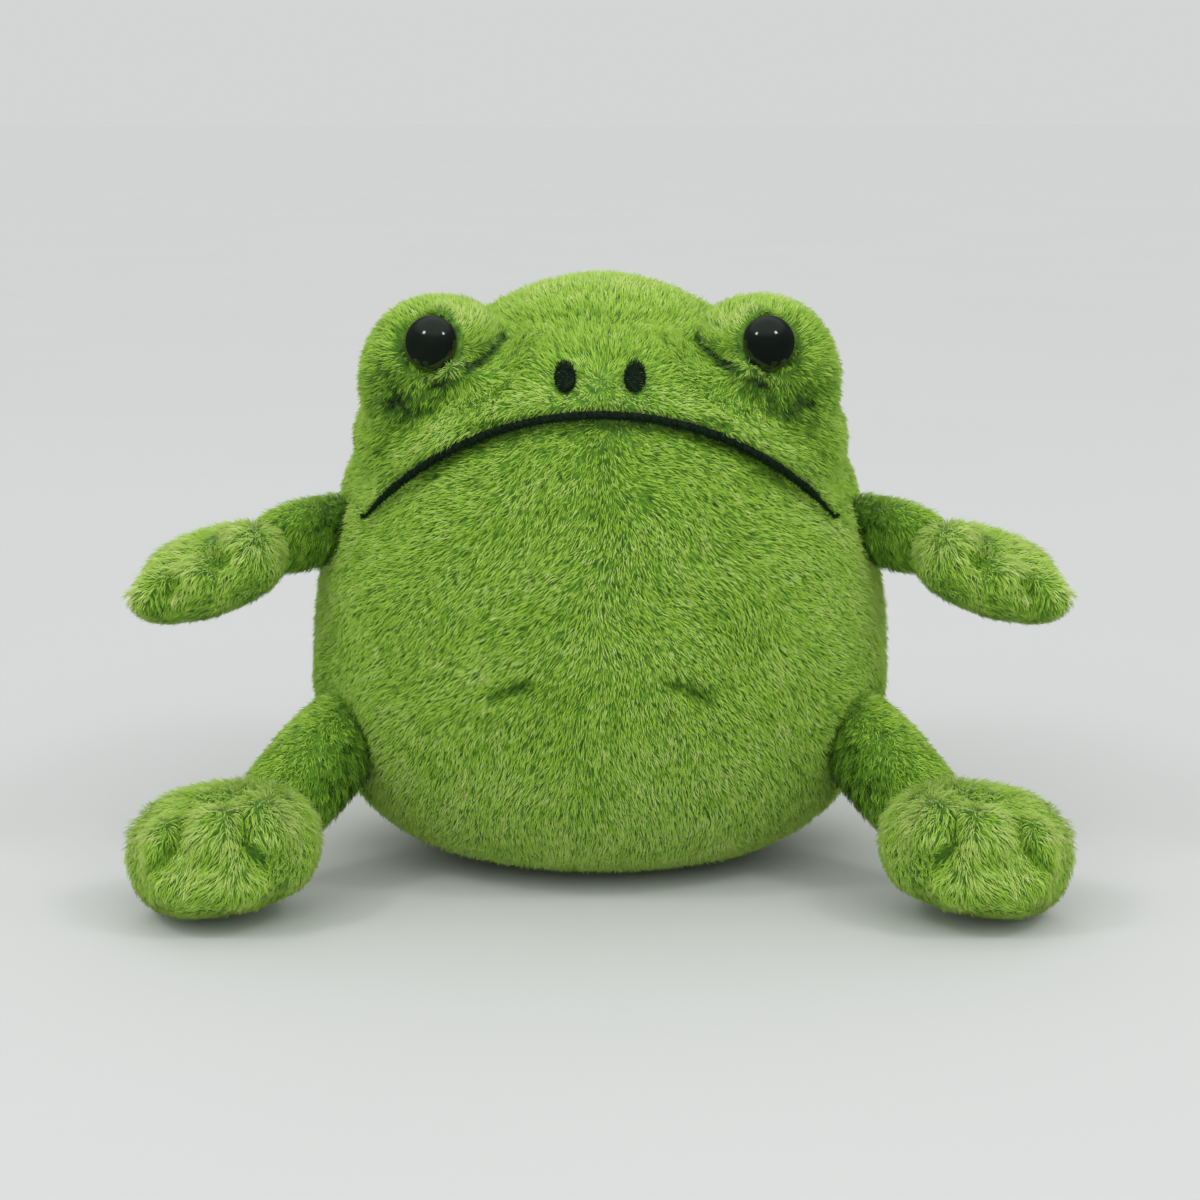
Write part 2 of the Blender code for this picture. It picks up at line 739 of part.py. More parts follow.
def add_eye_mound(side, seat, head):
    """Adds one eye mound with its filling, its eye and the eye's washer."""
    pieces = [seat.cover(head), seat.filling(head), seat.eye(), seat.washer()]
    if side == "right":
        pieces = [mirrored(mesh) for mesh in pieces]
    add_piece(f"eye_mound_cover_{side}", pieces[0], FUR)
    add_piece(f"eye_mound_filling_{side}", pieces[1], FILLING)
    add_piece(f"eye_{side}", pieces[2], EYE_PLASTIC)
    add_piece(f"eye_washer_{side}", pieces[3], WASHER_PLASTIC)


def nostril(snout, grow=0):
    """The left nostril's embroidered oval, set into the snout, or that oval grown by a gap."""
    start = Vector((NOSTRIL_SPACING / 2, 0, BODY_HEIGHT - LIP_DROP + NOSTRIL_RISE))
    place, normal = surface_at(snout.outside, start, Vector((0, -1, 0)))
    bm = bmesh.new()
    bmesh.ops.create_uvsphere(bm, u_segments=OVAL_POINTS, v_segments=OVAL_POINTS // 2, radius=1)
    size = Matrix.Diagonal((
        NOSTRIL_HALF_WIDTH + grow, NOSTRIL_HALF_HEIGHT + grow, NOSTRIL_HALF_THICKNESS + grow, 1
    ))
    turn = normal.to_track_quat("Z", "Y").to_matrix().to_4x4()
    lean = Matrix.Rotation(NOSTRIL_LEAN, 4, "Z")
    return placed(from_bmesh(bm), Matrix.Translation(place) @ turn @ lean @ size)


def piping_point(x, trunk, head):
    """Where the cord's middle runs near a distance x from the frog's: under the lip, clear of the belly."""
    clear = PIPING_RADIUS + 2 * SEWN_GAP
    forwards = Vector((0, -1, 0))
    lip, _ = surface_at(head, Vector((x, 0, arch_height(x) + clear)), forwards)
    belly, normal = surface_at(trunk.outside, Vector((x, 0, arch_height(x) - clear)), forwards)
    level = Vector((normal.x, normal.y, 0))
    point = belly + level * clear / level.length_squared
    point.y = min(point.y, lip.y + clear)
    point.z = arch_height(point.x) - clear
    return point


def add_piping(trunk, head):
    """Adds the dark cord that is sewn along the mouth, thinner at both ends."""
    curve = bpy.data.curves.new("mouth_piping", "CURVE")
    curve.dimensions = "3D"
    curve.bevel_depth = PIPING_RADIUS
    curve.bevel_resolution = 2
    curve.use_fill_caps = True
    spline = curve.splines.new("POLY")
    spline.points.add(ARC_STEPS)
    for x, point in zip(mouth_places(), spline.points):
        point.co = (*piping_point(x, trunk, head), 1)
        swell = math.sqrt(1 - (x / MOUTH_HALF_WIDTH) ** 2)
        point.radius = PIPING_END_SHARE + (1 - PIPING_END_SHARE) * swell
    curve.materials.append(material(THREAD))
    obj = bpy.data.objects.new("mouth_piping", curve)
    bpy.data.collections["plush_frog"].objects.link(obj)


def pellet_pouch(grow=0):
    """The pouch of pellets that lies on the seat inside the body, or its shape grown by a gap."""
    bottom = COVER_WALL + SEWN_GAP
    reach = POUCH_RADIUS + grow
    low = (-reach, -reach, bottom - grow)
    high = (reach, reach, bottom + POUCH_HEIGHT + grow)
    return lobe(low, high, POUCH_SQUARENESS).outside


def main():
    """Builds the frog."""
    clear_scene()
    frog = bpy.data.collections.new("plush_frog")
    bpy.context.scene.collection.children.link(frog)
    trunk = egg()
    snout = snout_lobe(trunk)
    shoulder, wrist, arm, hand = arm_parts(trunk)
    hip, ankle, leg, foot = leg_parts(trunk)
    arm_sockets = [shoulder.socket(), mirrored(shoulder.socket())]
    leg_sockets = [hip.socket(), mirrored(hip.socket())]
    cover, filling = trunk_pieces(trunk, arm_sockets + leg_sockets, pellet_pouch(SEWN_GAP))
    add_piece("body_cover", cover, FUR)
    add_piece("body_filling", filling, FILLING)
    add_piece("pellet_pouch", pellet_pouch(), POUCH_CLOTH)
    head = plus(offset(trunk.outside, SEWN_GAP), offset(snout.outside, SEWN_GAP))
    seat = EyeSeat(head)
    eye_hollows = [seat.hollow(), mirrored(seat.hollow())]
    cover, filling = head_pieces(trunk, snout, arm_sockets + eye_hollows)
    hollows = nostril(snout, SEWN_GAP)
    add_piece("head_cover", minus(cover, hollows, mirrored(hollows)), FUR)
    add_piece("head_filling", filling, FILLING)
    add_piece("nostril_left", nostril(snout), THREAD)
    add_piece("nostril_right", mirrored(nostril(snout)), THREAD)
    add_piping(trunk, head)
    for side in ("left", "right"):
        add_eye_mound(side, seat, head)
        add_limb(side, ("arm", "hand"), (shoulder, wrist), (arm, hand))
        add_limb(side, ("leg", "foot"), (hip, ankle), (leg, foot))


if __name__ == "__main__":
    main()
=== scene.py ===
"""The looks of a plush frog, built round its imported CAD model: skins, real strands of fur, eyes and mouth."""

import json
import math
from functools import cache

import bmesh
import bpy
import numpy as np
from mathutils import Matrix, Vector
from mathutils.bvhtree import BVHTree
from mathutils.kdtree import KDTree


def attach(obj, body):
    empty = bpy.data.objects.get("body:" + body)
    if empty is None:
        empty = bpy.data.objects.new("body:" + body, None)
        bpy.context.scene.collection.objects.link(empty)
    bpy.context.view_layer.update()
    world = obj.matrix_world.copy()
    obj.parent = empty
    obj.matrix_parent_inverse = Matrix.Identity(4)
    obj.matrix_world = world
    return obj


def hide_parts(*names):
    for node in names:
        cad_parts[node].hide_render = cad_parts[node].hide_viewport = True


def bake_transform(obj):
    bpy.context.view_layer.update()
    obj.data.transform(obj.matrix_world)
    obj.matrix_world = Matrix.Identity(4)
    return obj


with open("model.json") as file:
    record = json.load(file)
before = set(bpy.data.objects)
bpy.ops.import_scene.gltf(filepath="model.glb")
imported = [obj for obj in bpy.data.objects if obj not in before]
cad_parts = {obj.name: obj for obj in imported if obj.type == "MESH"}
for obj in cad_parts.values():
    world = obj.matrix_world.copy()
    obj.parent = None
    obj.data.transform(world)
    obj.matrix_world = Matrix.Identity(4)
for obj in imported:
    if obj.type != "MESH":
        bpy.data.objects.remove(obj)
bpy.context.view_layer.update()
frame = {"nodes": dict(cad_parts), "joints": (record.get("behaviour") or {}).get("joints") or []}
pivots = {joint["name"]: Vector(joint["pos_m"]) for joint in frame["joints"]}

MM = 0.001
FUR_MAP = "OFBake"
SHADE = "shade"

# Camera, fitted to the photograph, whose frame is 1200 x 1200 pixels.
FRAME_SIDE = 1200
FOCAL_PIXELS = 2900
CAMERA_REACH = 1.0
CAMERA_LIFT = math.radians(10)
CAMERA_TARGET = Vector((0, 0, 87.7 * MM))
SENSOR_WIDTH = 36

# The trunk's egg, as in the CAD. Its rings give height, half width, and reach to the front and to the back.
BODY_HALF_WIDTH = 99.5 * MM
BODY_FRONT = 95 * MM
BODY_BACK = 95 * MM
BODY_HEIGHT = 201 * MM
BODY_RING_SHARES = (
    (0.000, 0.20, 0.20, 0.20),
    (0.000, 0.44, 0.42, 0.44),
    (0.030, 0.68, 0.66, 0.68),
    (0.110, 0.88, 0.87, 0.88),
    (0.250, 1.00, 1.00, 0.99),
    (0.400, 1.005, 1.03, 1.02),
    (0.560, 0.955, 1.01, 0.98),
    (0.690, 0.86, 0.97, 0.90),
    (0.810, 0.74, 0.88, 0.77),
    (0.920, 0.48, 0.54, 0.56),
    (1.000, 0.15, 0.12, 0.25),
)
EGG_POINTS = 12
CAGE_LEVELS = 3

# Snout and mouth, as in the CAD.
LIP_DROP = 38 * MM
SNOUT_DROP = 12 * MM
SNOUT_HEIGHT = 78 * MM
SNOUT_DEPTH = 112 * MM
LIP_OVERHANG = 6 * MM
CHEEK_BULGE = 1.5 * MM
CHEEK_RISE_SHARE = 0.46
SNOUT_SQUARENESS = 2.2
SNOUT_POINTS, SNOUT_RINGS = 10, 5
MOUTH_ARC_RADIUS = 98 * MM
MOUTH_HALF_WIDTH = 76 * MM
SEWN_GAP = 0.3 * MM

# Eye mounds and eyes, as in the CAD.
MOUND_SPACING = 104 * MM
MOUND_HALF = Vector((28, 30, 30)) * MM
MOUND_DROP = 4 * MM
MOUND_SETBACK = 55 * MM
MOUND_SQUARENESS = 2.1
MOUND_POINTS, MOUND_RINGS = 8, 4
EYE_PLACE_TURN, EYE_PLACE_LIFT = math.radians(4), math.radians(30)
EYE_FACE_TURN, EYE_FACE_LIFT = math.radians(28), math.radians(12)
EYE_SINK = 2.5 * MM
EYE_RADIUS = 9 * MM
EYE_DOME = 8 * MM
EYE_RIM = 1.2 * MM

# Limbs, as in the CAD.
ARM_RADIUS = 12.8 * MM
ARM_FORWARD, ARM_DROOP = math.radians(30), math.radians(18)
WRIST_RADIUS = 11.2 * MM
HAND_SIZE = Vector((58, 46, 28)) * MM
HAND_FORWARD, HAND_DROOP = math.radians(32), math.radians(17)
HIP_HEIGHT, HIP_TURN = 51 * MM, math.radians(24)
LEG_RADIUS = 17.5 * MM
LEG_OUT, LEG_FORWARD, ANKLE_HEIGHT = 22.5 * MM, 33 * MM, 25 * MM
ANKLE_RADIUS = 16 * MM
FOOT_SIZE = Vector((65, 63, 44)) * MM
FOOT_TURN, FOOT_ROLL = math.radians(56), math.radians(11)
BASE_CUT = 0.5 * MM
ROOT_SINK_SHARE = 0.3
LIMB_RING_SHARES = ((0.00, 0.66), (0.16, 0.98), (0.80, 1.02), (1.00, 0.66))
LIMB_POINTS = 8
PAW_RING_SHARES = (
    (-0.50, 0.62, 0.04),
    (-0.22, 1.02, 0.22),
    (0.24, 0.98, 0.34),
    (0.50, 0.50, 0.18),
)
PAW_POINTS = 12
PAW_HEEL_SHARE = 0.80

# How far the fur's backing lies inside the CAD surface, which stands for the pile's dense face.
BODY_PILE = 2.6 * MM
LIMB_PILE = 2.8 * MM

# The skins' grids, and how often each is softened.
HEAD_GRID, HEAD_SOFTENING = 1.8 * MM, 9
BODY_GRID, LIMB_GRID, SOFTENING = 2.4 * MM, 1.5 * MM, 6

# Strands: how many stand on a square metre, how long they are, and how low their tips and middles may hang.
FUR_DENSITY = 2.1e6
LIMB_FUR, HAND_FUR, FOOT_FUR = 3.6 * MM, 4.5 * MM, 4.8 * MM
LOWEST_TIP = (-math.inf, -math.inf, 0.4 * MM)
LOWEST_MIDDLE = (-math.inf, -math.inf, 0.7 * MM)
DOWN = np.array((0.0, 0.0, -1.0))

# Where the trunk's fur is cut into panels.
BELLY_BACK, BELLY_TOP = -62 * MM, 82 * MM
FLANK_BACK, FLANK_TOP = -5 * MM, 75 * MM
SIDE_BACK = 58 * MM
SNOUT_BACK = -30 * MM
MOUND_FUR_SHARE = 1.02

# Colours: a strand's by its tone and by its height from root to tip, whose darker roots are painted shade deep
# in the pile, and the undercoat's.
TONE_STOPS = (
    (0.0, (0.006, 0.024, 0.003)),
    (0.12, (0.050, 0.150, 0.009)),
    (0.3, (0.175, 0.390, 0.026)),
    (0.6, (0.440, 0.730, 0.085)),
    (1.0, (0.700, 0.880, 0.270)),
)
# Painted shade: strands darker towards their roots, as if shaded deep in the pile.
ROOT_SHADE_STOPS = (
    (0.0, (0.20, 0.28, 0.14)),
    (0.4, (0.84, 0.88, 0.74)),
    (1.0, (1.0, 1.0, 1.0)),
)
UNDER_STOPS = (
    (0.3, (0.035, 0.110, 0.006)),
    (0.5, (0.090, 0.230, 0.014)),
    (0.75, (0.190, 0.390, 0.030)),
)
SHEEN_TINT = (0.85, 0.95, 0.45)
BACKDROP = (0.655, 0.668, 0.662)
SKY_STOPS = ((0.0, (0.05, 0.06, 0.05)), (0.45, (0.09, 0.10, 0.09)), (0.80, (0.42, 0.46, 0.43)))
WORLD_LIGHT = 0.48
SUN_LIGHT = 0.98
RIM_LIGHT = 0.55
BOX_LIGHT = 1.8
BOX_SIZE = 0.20


# Meshes

def linked(name, data):
    """A new object in the scene for a mesh, a lamp or a camera."""
    obj = bpy.data.objects.new(name, data)
    bpy.context.scene.collection.objects.link(obj)
    return obj


def applied(obj):
    """The object's mesh with its modifiers applied. The object is removed."""
    bpy.context.view_layer.update()
    graph = bpy.context.evaluated_depsgraph_get()
    mesh = bpy.data.meshes.new_from_object(obj.evaluated_get(graph), depsgraph=graph)
    bpy.data.objects.remove(obj)
    return mesh


def vectors(items, name):
    """A vector of each item as an array."""
    found = np.empty(len(items) * 3, np.float32)
    items.foreach_get(name, found)
    return found.reshape(-1, 3).astype(float)


def places(mesh):
    """The mesh's points as an array."""
    return vectors(mesh.vertices, "co")


def normals(mesh):
    """The mesh's point normals as an array."""
    return vectors(mesh.vertex_normals, "vector")


def moved_to(mesh, points):
    """Puts the mesh's points at these places."""
    mesh.vertices.foreach_set("co", points.astype(np.float32).ravel())
    mesh.update()
    return mesh


def unit(ways):
    """Each vector at a length of 1."""
    return ways / np.maximum(np.linalg.norm(ways, axis=-1, keepdims=True), 1e-12)


def rising(values, low, high):
    """0 under low, 1 over high and an eased rise between them."""
    share = np.clip((values - low) / (high - low), 0, 1)
    return share * share * (3 - 2 * share)


def falling(values, low, high):
    """1 under low, 0 over high and an eased fall between them."""
    return 1 - rising(values, low, high)


def facing_matrix(direction):
    """A turn that points a shape's own Z in a direction."""
    return direction.to_track_quat("Z", "Y").to_matrix().to_4x4()


def from_bmesh(bm):
    """A mesh from a bmesh, which is freed."""
    mesh = bpy.data.meshes.new("form")
    bm.to_mesh(mesh)
    bm.free()
    return mesh


def ordered(bm, old_points=0, old_faces=0):
    """Sorts a bmesh's new points and faces by place. Extruding and spinning leave them in an order that
    changes from run to run, and fur is scattered in that order.
    """
    for parts, old, place in (
        (bm.verts, old_points, lambda vertex: vertex.co),
        (bm.faces, old_faces, lambda face: face.calc_center_median()),
    ):
        order = list(parts)
        order[old:] = sorted(order[old:], key=lambda part: tuple(place(part)))
        for k, part in enumerate(order):
            part.index = k
        parts.sort()
    return bm


def lofted(rings):
    """A closed cage through rings of points, with a face over each end."""
    bm = bmesh.new()
    loops = [[bm.verts.new(point) for point in ring] for ring in rings]
    count = len(loops[0])
    for low, high in zip(loops, loops[1:]):
        for i in range(count):
            j = (i + 1) % count
            bm.faces.new((low[i], low[j], high[j], high[i]))
    bm.faces.new(reversed(loops[0]))
    bm.faces.new(loops[-1])
    bmesh.ops.recalc_face_normals(bm, faces=bm.faces)
    return from_bmesh(bm)


def form(rings, low, high, matrix=Matrix()):
    """A stuffed form: a cage, rounded off, stretched to fill a box and placed by a matrix."""
    cage = linked("cage", lofted(rings))
    rounding = cage.modifiers.new("round", "SUBSURF")
    rounding.levels = rounding.render_levels = CAGE_LEVELS
    mesh = applied(cage)
    points = places(mesh)
    shares = (points - points.min(0)) / np.ptp(points, axis=0)
    moved_to(mesh, np.array(low) + shares * (np.array(high) - np.array(low)))
    mesh.transform(matrix)
    mesh.update()
    return mesh


def shrunk(mesh, distance):
    """A copy of the mesh with each point moved inwards by a distance."""
    image = mesh.copy()
    return moved_to(image, places(mesh) - normals(mesh) * distance)


def joined(meshes):
    """Some meshes as one."""
    bm = bmesh.new()
    for mesh in meshes:
        bm.from_mesh(mesh)
    return from_bmesh(bm)


def remeshed(meshes, voxel, steps):
    """The union of closed meshes as one even, softened skin."""
    obj = linked("union", joined(meshes))
    remesh = obj.modifiers.new("even", "REMESH")
    remesh.mode = "VOXEL"
    remesh.voxel_size = voxel
    soften = obj.modifiers.new("soften", "SMOOTH")
    soften.factor = 0.5
    soften.iterations = steps
    return applied(obj)


def kept(mesh, keep):
    """The mesh without the faces whose middle keep() refuses."""
    bm = bmesh.new()
    bm.from_mesh(mesh)
    middles = np.array([face.calc_center_median() for face in bm.faces])
    spare = [face for face, stays in zip(bm.faces, keep(middles)) if not stays]
    bmesh.ops.delete(bm, geom=spare, context="FACES")
    return from_bmesh(bm)


def mirrored(mesh):
    """The mesh's mirror image across x = 0."""
    image = mesh.copy()
    image.transform(Matrix.Diagonal((-1, 1, 1, 1)))
    image.flip_normals()
    return image


def tree_of(*meshes):
    """A search tree over the faces of some meshes."""
    points, faces = [], []
    for mesh in meshes:
        start = len(points)
        points += [vertex.co.copy() for vertex in mesh.vertices]
        faces += [tuple(start + i for i in face.vertices) for face in mesh.polygons]
    return BVHTree.FromPolygons(points, faces)


def heading(turn, lift):
    """A direction turned from straight ahead (-Y) towards +X, and lifted above the horizon."""
    level = math.cos(lift)
    return Vector((math.sin(turn) * level, -math.cos(turn) * level, math.sin(lift)))


# The photograph's view

def camera_axes():
    """The camera's place and its forward, right and up directions."""
    back = Vector((0, -math.cos(CAMERA_LIFT), math.sin(CAMERA_LIFT)))
    right = Vector((1, 0, 0))
    return CAMERA_TARGET + back * CAMERA_REACH, -back, right, right.cross(-back)


def pixel_ray(x, y):
    """The camera's place and the direction of a pixel of the photograph."""
    place, forward, right, up = camera_axes()
    across, rise = x - FRAME_SIDE / 2, FRAME_SIDE / 2 - y
    return place, (forward * FOCAL_PIXELS + right * across + up * rise).normalized()


def seen_at(tree, pixels):
    """Where pixels of the photograph lie on a shape."""
    found = [tree.ray_cast(*pixel_ray(*pixel))[0] for pixel in pixels]
    return np.array([point for point in found if point is not None])


def distance_to(points, line):
    """Each point's distance to a line of points."""
    best = np.linalg.norm(points - line[0], axis=1)
    for start, end in zip(line, line[1:]):
        run = end - start
        share = np.clip((points - start) @ run / max(run @ run, 1e-12), 0, 1)
        best = np.minimum(best, np.linalg.norm(points - start - share[:, None] * run, axis=1))
    return best


def near_stroke(points, tree, pixels, reach, sides=(1, -1)):
    """How near each point is to a stroke of pixels, on both halves of the frog: 1 on it, 0 past its reach."""
    line = seen_at(tree, pixels)
    if len(line) == 0:
        return np.zeros(len(points))
    return np.max([falling(distance_to(points, line * (side, 1, 1)), 0, reach) for side in sides], axis=0)


def sculpted(mesh, tree, strokes, sides=(1, -1)):
    """The mesh pushed in or out along strokes given as (pixels, reach, push), the last two in mm."""
    for pixels, reach, push in strokes:
        points = places(mesh)
        near = near_stroke(points, tree, pixels, reach * MM, sides)
        moved_to(mesh, points + normals(mesh) * (near * (push * MM))[:, None])
    return mesh


def creases(strokes):
    """The strokes that are fine creases, without their push."""
    return [(pixels, reach) for pixels, reach, push in strokes if push < 0 and reach < CREASE_REACH]


# Forms

def turns_round(count):
    """Angles all round, evenly spaced."""
    return [2 * math.pi * i / count for i in range(count)]


def ring_points(count):
    """Directions round a ring, from the front."""
    return [(math.sin(turn), -math.cos(turn)) for turn in turns_round(count)]


def egg():
    """The trunk: seat, belly, back and crown."""
    rings = []
    for height, width, front, back in BODY_RING_SHARES:
        ring = []
        for x, y in ring_points(EGG_POINTS):
            reach = front * BODY_FRONT if y < 0 else back * BODY_BACK
            ring.append((x * width * BODY_HALF_WIDTH, y * reach, height * BODY_HEIGHT))
        rings.append(ring)
    low = (-BODY_HALF_WIDTH, -BODY_FRONT, 0)
    return form(rings, low, (BODY_HALF_WIDTH, BODY_BACK, BODY_HEIGHT))


def lobe(low, high, squareness, points, count, widest_share=0.5):
    """A rounded lobe that fills a box. Squareness 2 is an ellipsoid, and more makes it boxier."""
    rings = []
    for k in range(count):
        rise = math.pi * (k + 0.5) / count
        reach = math.sin(rise) ** (2 / squareness)
        height = ((1 - math.cos(rise)) / 2) ** (math.log(widest_share) / math.log(0.5))
        ring = []
        for x, y in ring_points(points):
            square_x = math.copysign(abs(x) ** (2 / squareness), x)
            square_y = math.copysign(abs(y) ** (2 / squareness), y)
            ring.append((reach * square_x, reach * square_y, height))
        rings.append(ring)
    return form(rings, low, high)


def snout(trunk):
    """The lobe over the mouth."""
    tree = tree_of(trunk)
    top = BODY_HEIGHT - SNOUT_DROP
    bottom = top - SNOUT_HEIGHT
    lip = tree.ray_cast(Vector((0, 0, BODY_HEIGHT - LIP_DROP)), Vector((0, -1, 0)))[0]
    middle = bottom + SNOUT_HEIGHT * CHEEK_RISE_SHARE
    reach = tree.ray_cast(Vector((0, 0, middle)), Vector((1, 0, 0)))[0].x + CHEEK_BULGE
    front = lip.y - LIP_OVERHANG
    low, high = (-reach, front, bottom), (reach, front + SNOUT_DEPTH, top)
    return lobe(low, high, SNOUT_SQUARENESS, SNOUT_POINTS, SNOUT_RINGS, CHEEK_RISE_SHARE)


def mound_centre():
    """The middle of the left eye mound."""
    front = -BODY_FRONT - SEWN_GAP
    rise = BODY_HEIGHT - MOUND_DROP - MOUND_HALF.z
    return Vector((MOUND_SPACING / 2, front + MOUND_SETBACK, rise))


def mound():
    """The left eye mound."""
    low, high = mound_centre() - MOUND_HALF, mound_centre() + MOUND_HALF
    return lobe(low, high, MOUND_SQUARENESS, MOUND_POINTS, MOUND_RINGS)


@cache
def eye_seat():
    """The place of the left eye's back on its mound, and the way that the eye faces."""
    start = heading(EYE_PLACE_TURN, EYE_PLACE_LIFT)
    place = tree_of(mound()).ray_cast(mound_centre(), start)[0]
    facing = heading(EYE_FACE_TURN, EYE_FACE_LIFT)
    return place - facing * EYE_SINK, facing


def arch_height(x):
    """The height of the lip at a distance x from the middle."""
    top = BODY_HEIGHT - LIP_DROP - MOUTH_ARC_RADIUS
    x = np.minimum(np.abs(x), MOUTH_HALF_WIDTH)
    return top + np.sqrt(MOUTH_ARC_RADIUS**2 - x**2)


def tube(start, end, radius):
    """A limb's stuffed tube."""
    turns = turns_round(LIMB_POINTS)
    rings = [
        [(math.cos(turn) * reach, math.sin(turn) * reach, along) for turn in turns]
        for along, reach in LIMB_RING_SHARES
    ]
    high = (radius, radius, (end - start).length)
    return form(rings, (-radius, -radius, 0), high, Matrix.Translation(start) @ facing_matrix(end - start))


def paw(size, matrix):
    """A hand or foot. Its three toes point along its own +X, creased between them."""
    rings = []
    for rise, reach, crease in PAW_RING_SHARES:
        ring = []
        for i, angle in enumerate(turns_round(PAW_POINTS)):
            between_toes = i in (1, PAW_POINTS - 1)
            beside_toes = i in (3, PAW_POINTS - 3)
            dip = crease if between_toes else crease / 2 if beside_toes else 0
            x, y = math.cos(angle), math.sin(angle)
            x *= PAW_HEEL_SHARE if x < 0 else 1
            ring.append((x * reach * (1 - dip), y * reach * (1 - dip), rise))
        rings.append(ring)
    return form(rings, -size / 2, size / 2, matrix)


def paw_matrix(pivot, ahead, reach):
    """Places a paw so that its heel lies on a pivot and its toes point ahead."""
    across = Vector((0, 0, 1)).cross(ahead).normalized()
    turn = Matrix((ahead, across, ahead.cross(across))).transposed().to_4x4()
    return Matrix.Translation(pivot + ahead * reach) @ turn


class Limbs:
    """The left limbs' forms and directions."""

    def __init__(self):
        quarter = math.pi / 2
        self.arm_way = heading(quarter - ARM_FORWARD, -ARM_DROOP)
        self.hand_way = heading(quarter - HAND_FORWARD, -HAND_DROOP)
        self.foot_way = heading(quarter - FOOT_TURN, 0)
        self.shoulder, self.wrist = pivots["shoulder_left"], pivots["wrist_left"]
        self.hip, self.ankle = pivots["hip_left"], pivots["ankle_left"]
        out = heading(quarter - HIP_TURN, 0)
        root = tree_of(egg()).ray_cast(Vector((0, 0, HIP_HEIGHT)), out)[0]
        end = Vector((root.x + LEG_OUT, root.y - LEG_FORWARD, ANKLE_HEIGHT))
        self.leg_way = (end - root).normalized()

    def arm(self):
        """The arm's tube."""
        end = self.wrist + self.arm_way * WRIST_RADIUS * ROOT_SINK_SHARE
        return tube(self.shoulder - self.arm_way * ARM_RADIUS / 2, end, ARM_RADIUS)

    def hand(self):
        """The hand."""
        reach = HAND_SIZE.x / 2 - WRIST_RADIUS / 2
        return paw(HAND_SIZE, paw_matrix(self.wrist, self.hand_way, reach))

    def leg(self):
        """The leg's tube."""
        end = self.ankle + self.leg_way * ANKLE_RADIUS * ROOT_SINK_SHARE
        return tube(self.hip - self.leg_way * LEG_RADIUS / 2, end, LEG_RADIUS)

    def foot(self):
        """The foot, rolled a little outwards and set on the ground."""
        reach = FOOT_SIZE.x / 2 - ANKLE_RADIUS / 2
        turn = paw_matrix(self.ankle, self.foot_way, reach) @ Matrix.Rotation(-FOOT_ROLL, 4, "X")
        mesh = paw(FOOT_SIZE, turn)
        points = places(mesh)
        points[:, 2] -= points[:, 2].min() + BASE_CUT
        return moved_to(mesh, points)


# Skins. A stroke is a line of the photograph's pixels, its reach and how far it pushes the skin, in mm.

CREASE_REACH = 8
HEAD_STROKES = (
    (((511, 326), (493, 347), (467, 368), (448, 379), (428, 388)), 7.5, -3.8),
    (((484, 356), (467, 368), (444, 382)), 5, -2.2),
    (((384, 400), (400, 430), (384, 460)), 18, -2.2),
    (((409, 411), (432, 410)), 4, -1.2),
    (((590, 392), (520, 402), (450, 425), (400, 460), (374, 492)), 12, 1.2),
    (((520, 320), (560, 318), (600, 317)), 3.5, -0.9),
    (((474, 425), (499, 421)), 3.5, -1.4),
    (((392, 388), (420, 402), (450, 396)), 4, -1.2),
    (((448, 353), (478, 346)), 3, -0.8),
    (((505, 382), (535, 380)), 3.5, -0.8),
)
BODY_STROKES = (
    (((319, 664), (317, 690)), 13, 2.2),
    (((495, 696), (512, 688), (530, 681)), 4.5, -2.2),
    (((455, 640), (480, 620), (520, 600)), 6, -0.8),
)
HAND_STROKES = (
    (((228, 556), (222, 563)), 7, -2.6),
    (((176, 580), (168, 588)), 6, -2.6),
    (((165, 558), (200, 542)), 10, -2.6),
    (((246, 532), (262, 531)), 12, 3.8),
    (((132, 598), (138, 606)), 8, 2.6),
    (((252, 545), (250, 560)), 13, 2.6),
    (((200, 560), (196, 572)), 11, 1.8),
    (((146, 590), (138, 600)), 9, 1.4),
)
HAND_BUDS = ((254, 536), (200, 550), (150, 580))
ARM_STROKES = ((((266, 529), (284, 521), (304, 513)), 13, 4.6),)
FOOT_BUDS = ((272, 812), (212, 820), (153, 834))
FOOT_STROKES = (
    (((150, 808), (185, 798), (222, 792)), 11, -3.2),
    (((190, 905), (250, 903)), 13, 2.4),
    (((242, 822), (244, 842), (262, 862)), 7.5, -4.6),
    (((180, 824), (176, 842), (160, 862)), 7.5, -4.6),
    (((272, 812), (276, 826)), 13, 4.0),
    (((212, 818), (210, 832)), 12, 3.6),
    (((153, 834), (148, 848)), 11, 3.0),
)
LIMB_STROKES = {"arm": ARM_STROKES, "hand": HAND_STROKES, "leg": (), "foot": FOOT_STROKES}

# The head's open edge is turned in under the lip in steps: how near the axis, and how much higher.
RIM_TUCKS = ((0.985, -0.8 * MM), (0.94, -0.4 * MM), (0.85, 2.0 * MM))


def round_eye(points, side):
    """How points lie round an eye: the way it faces, then each point's height over the seat, its way and
    distance from the eye's axis, and how far it lies to the frog's outer side and upwards.
    """
    seat, facing = (np.array(part) * (side, 1, 1) for part in eye_seat())
    away = points - seat
    height = away @ facing
    outwards = away - height[:, None] * facing
    radius = np.linalg.norm(outwards, axis=1)
    return facing, height, outwards, radius, away[:, 0] * side, away[:, 2]


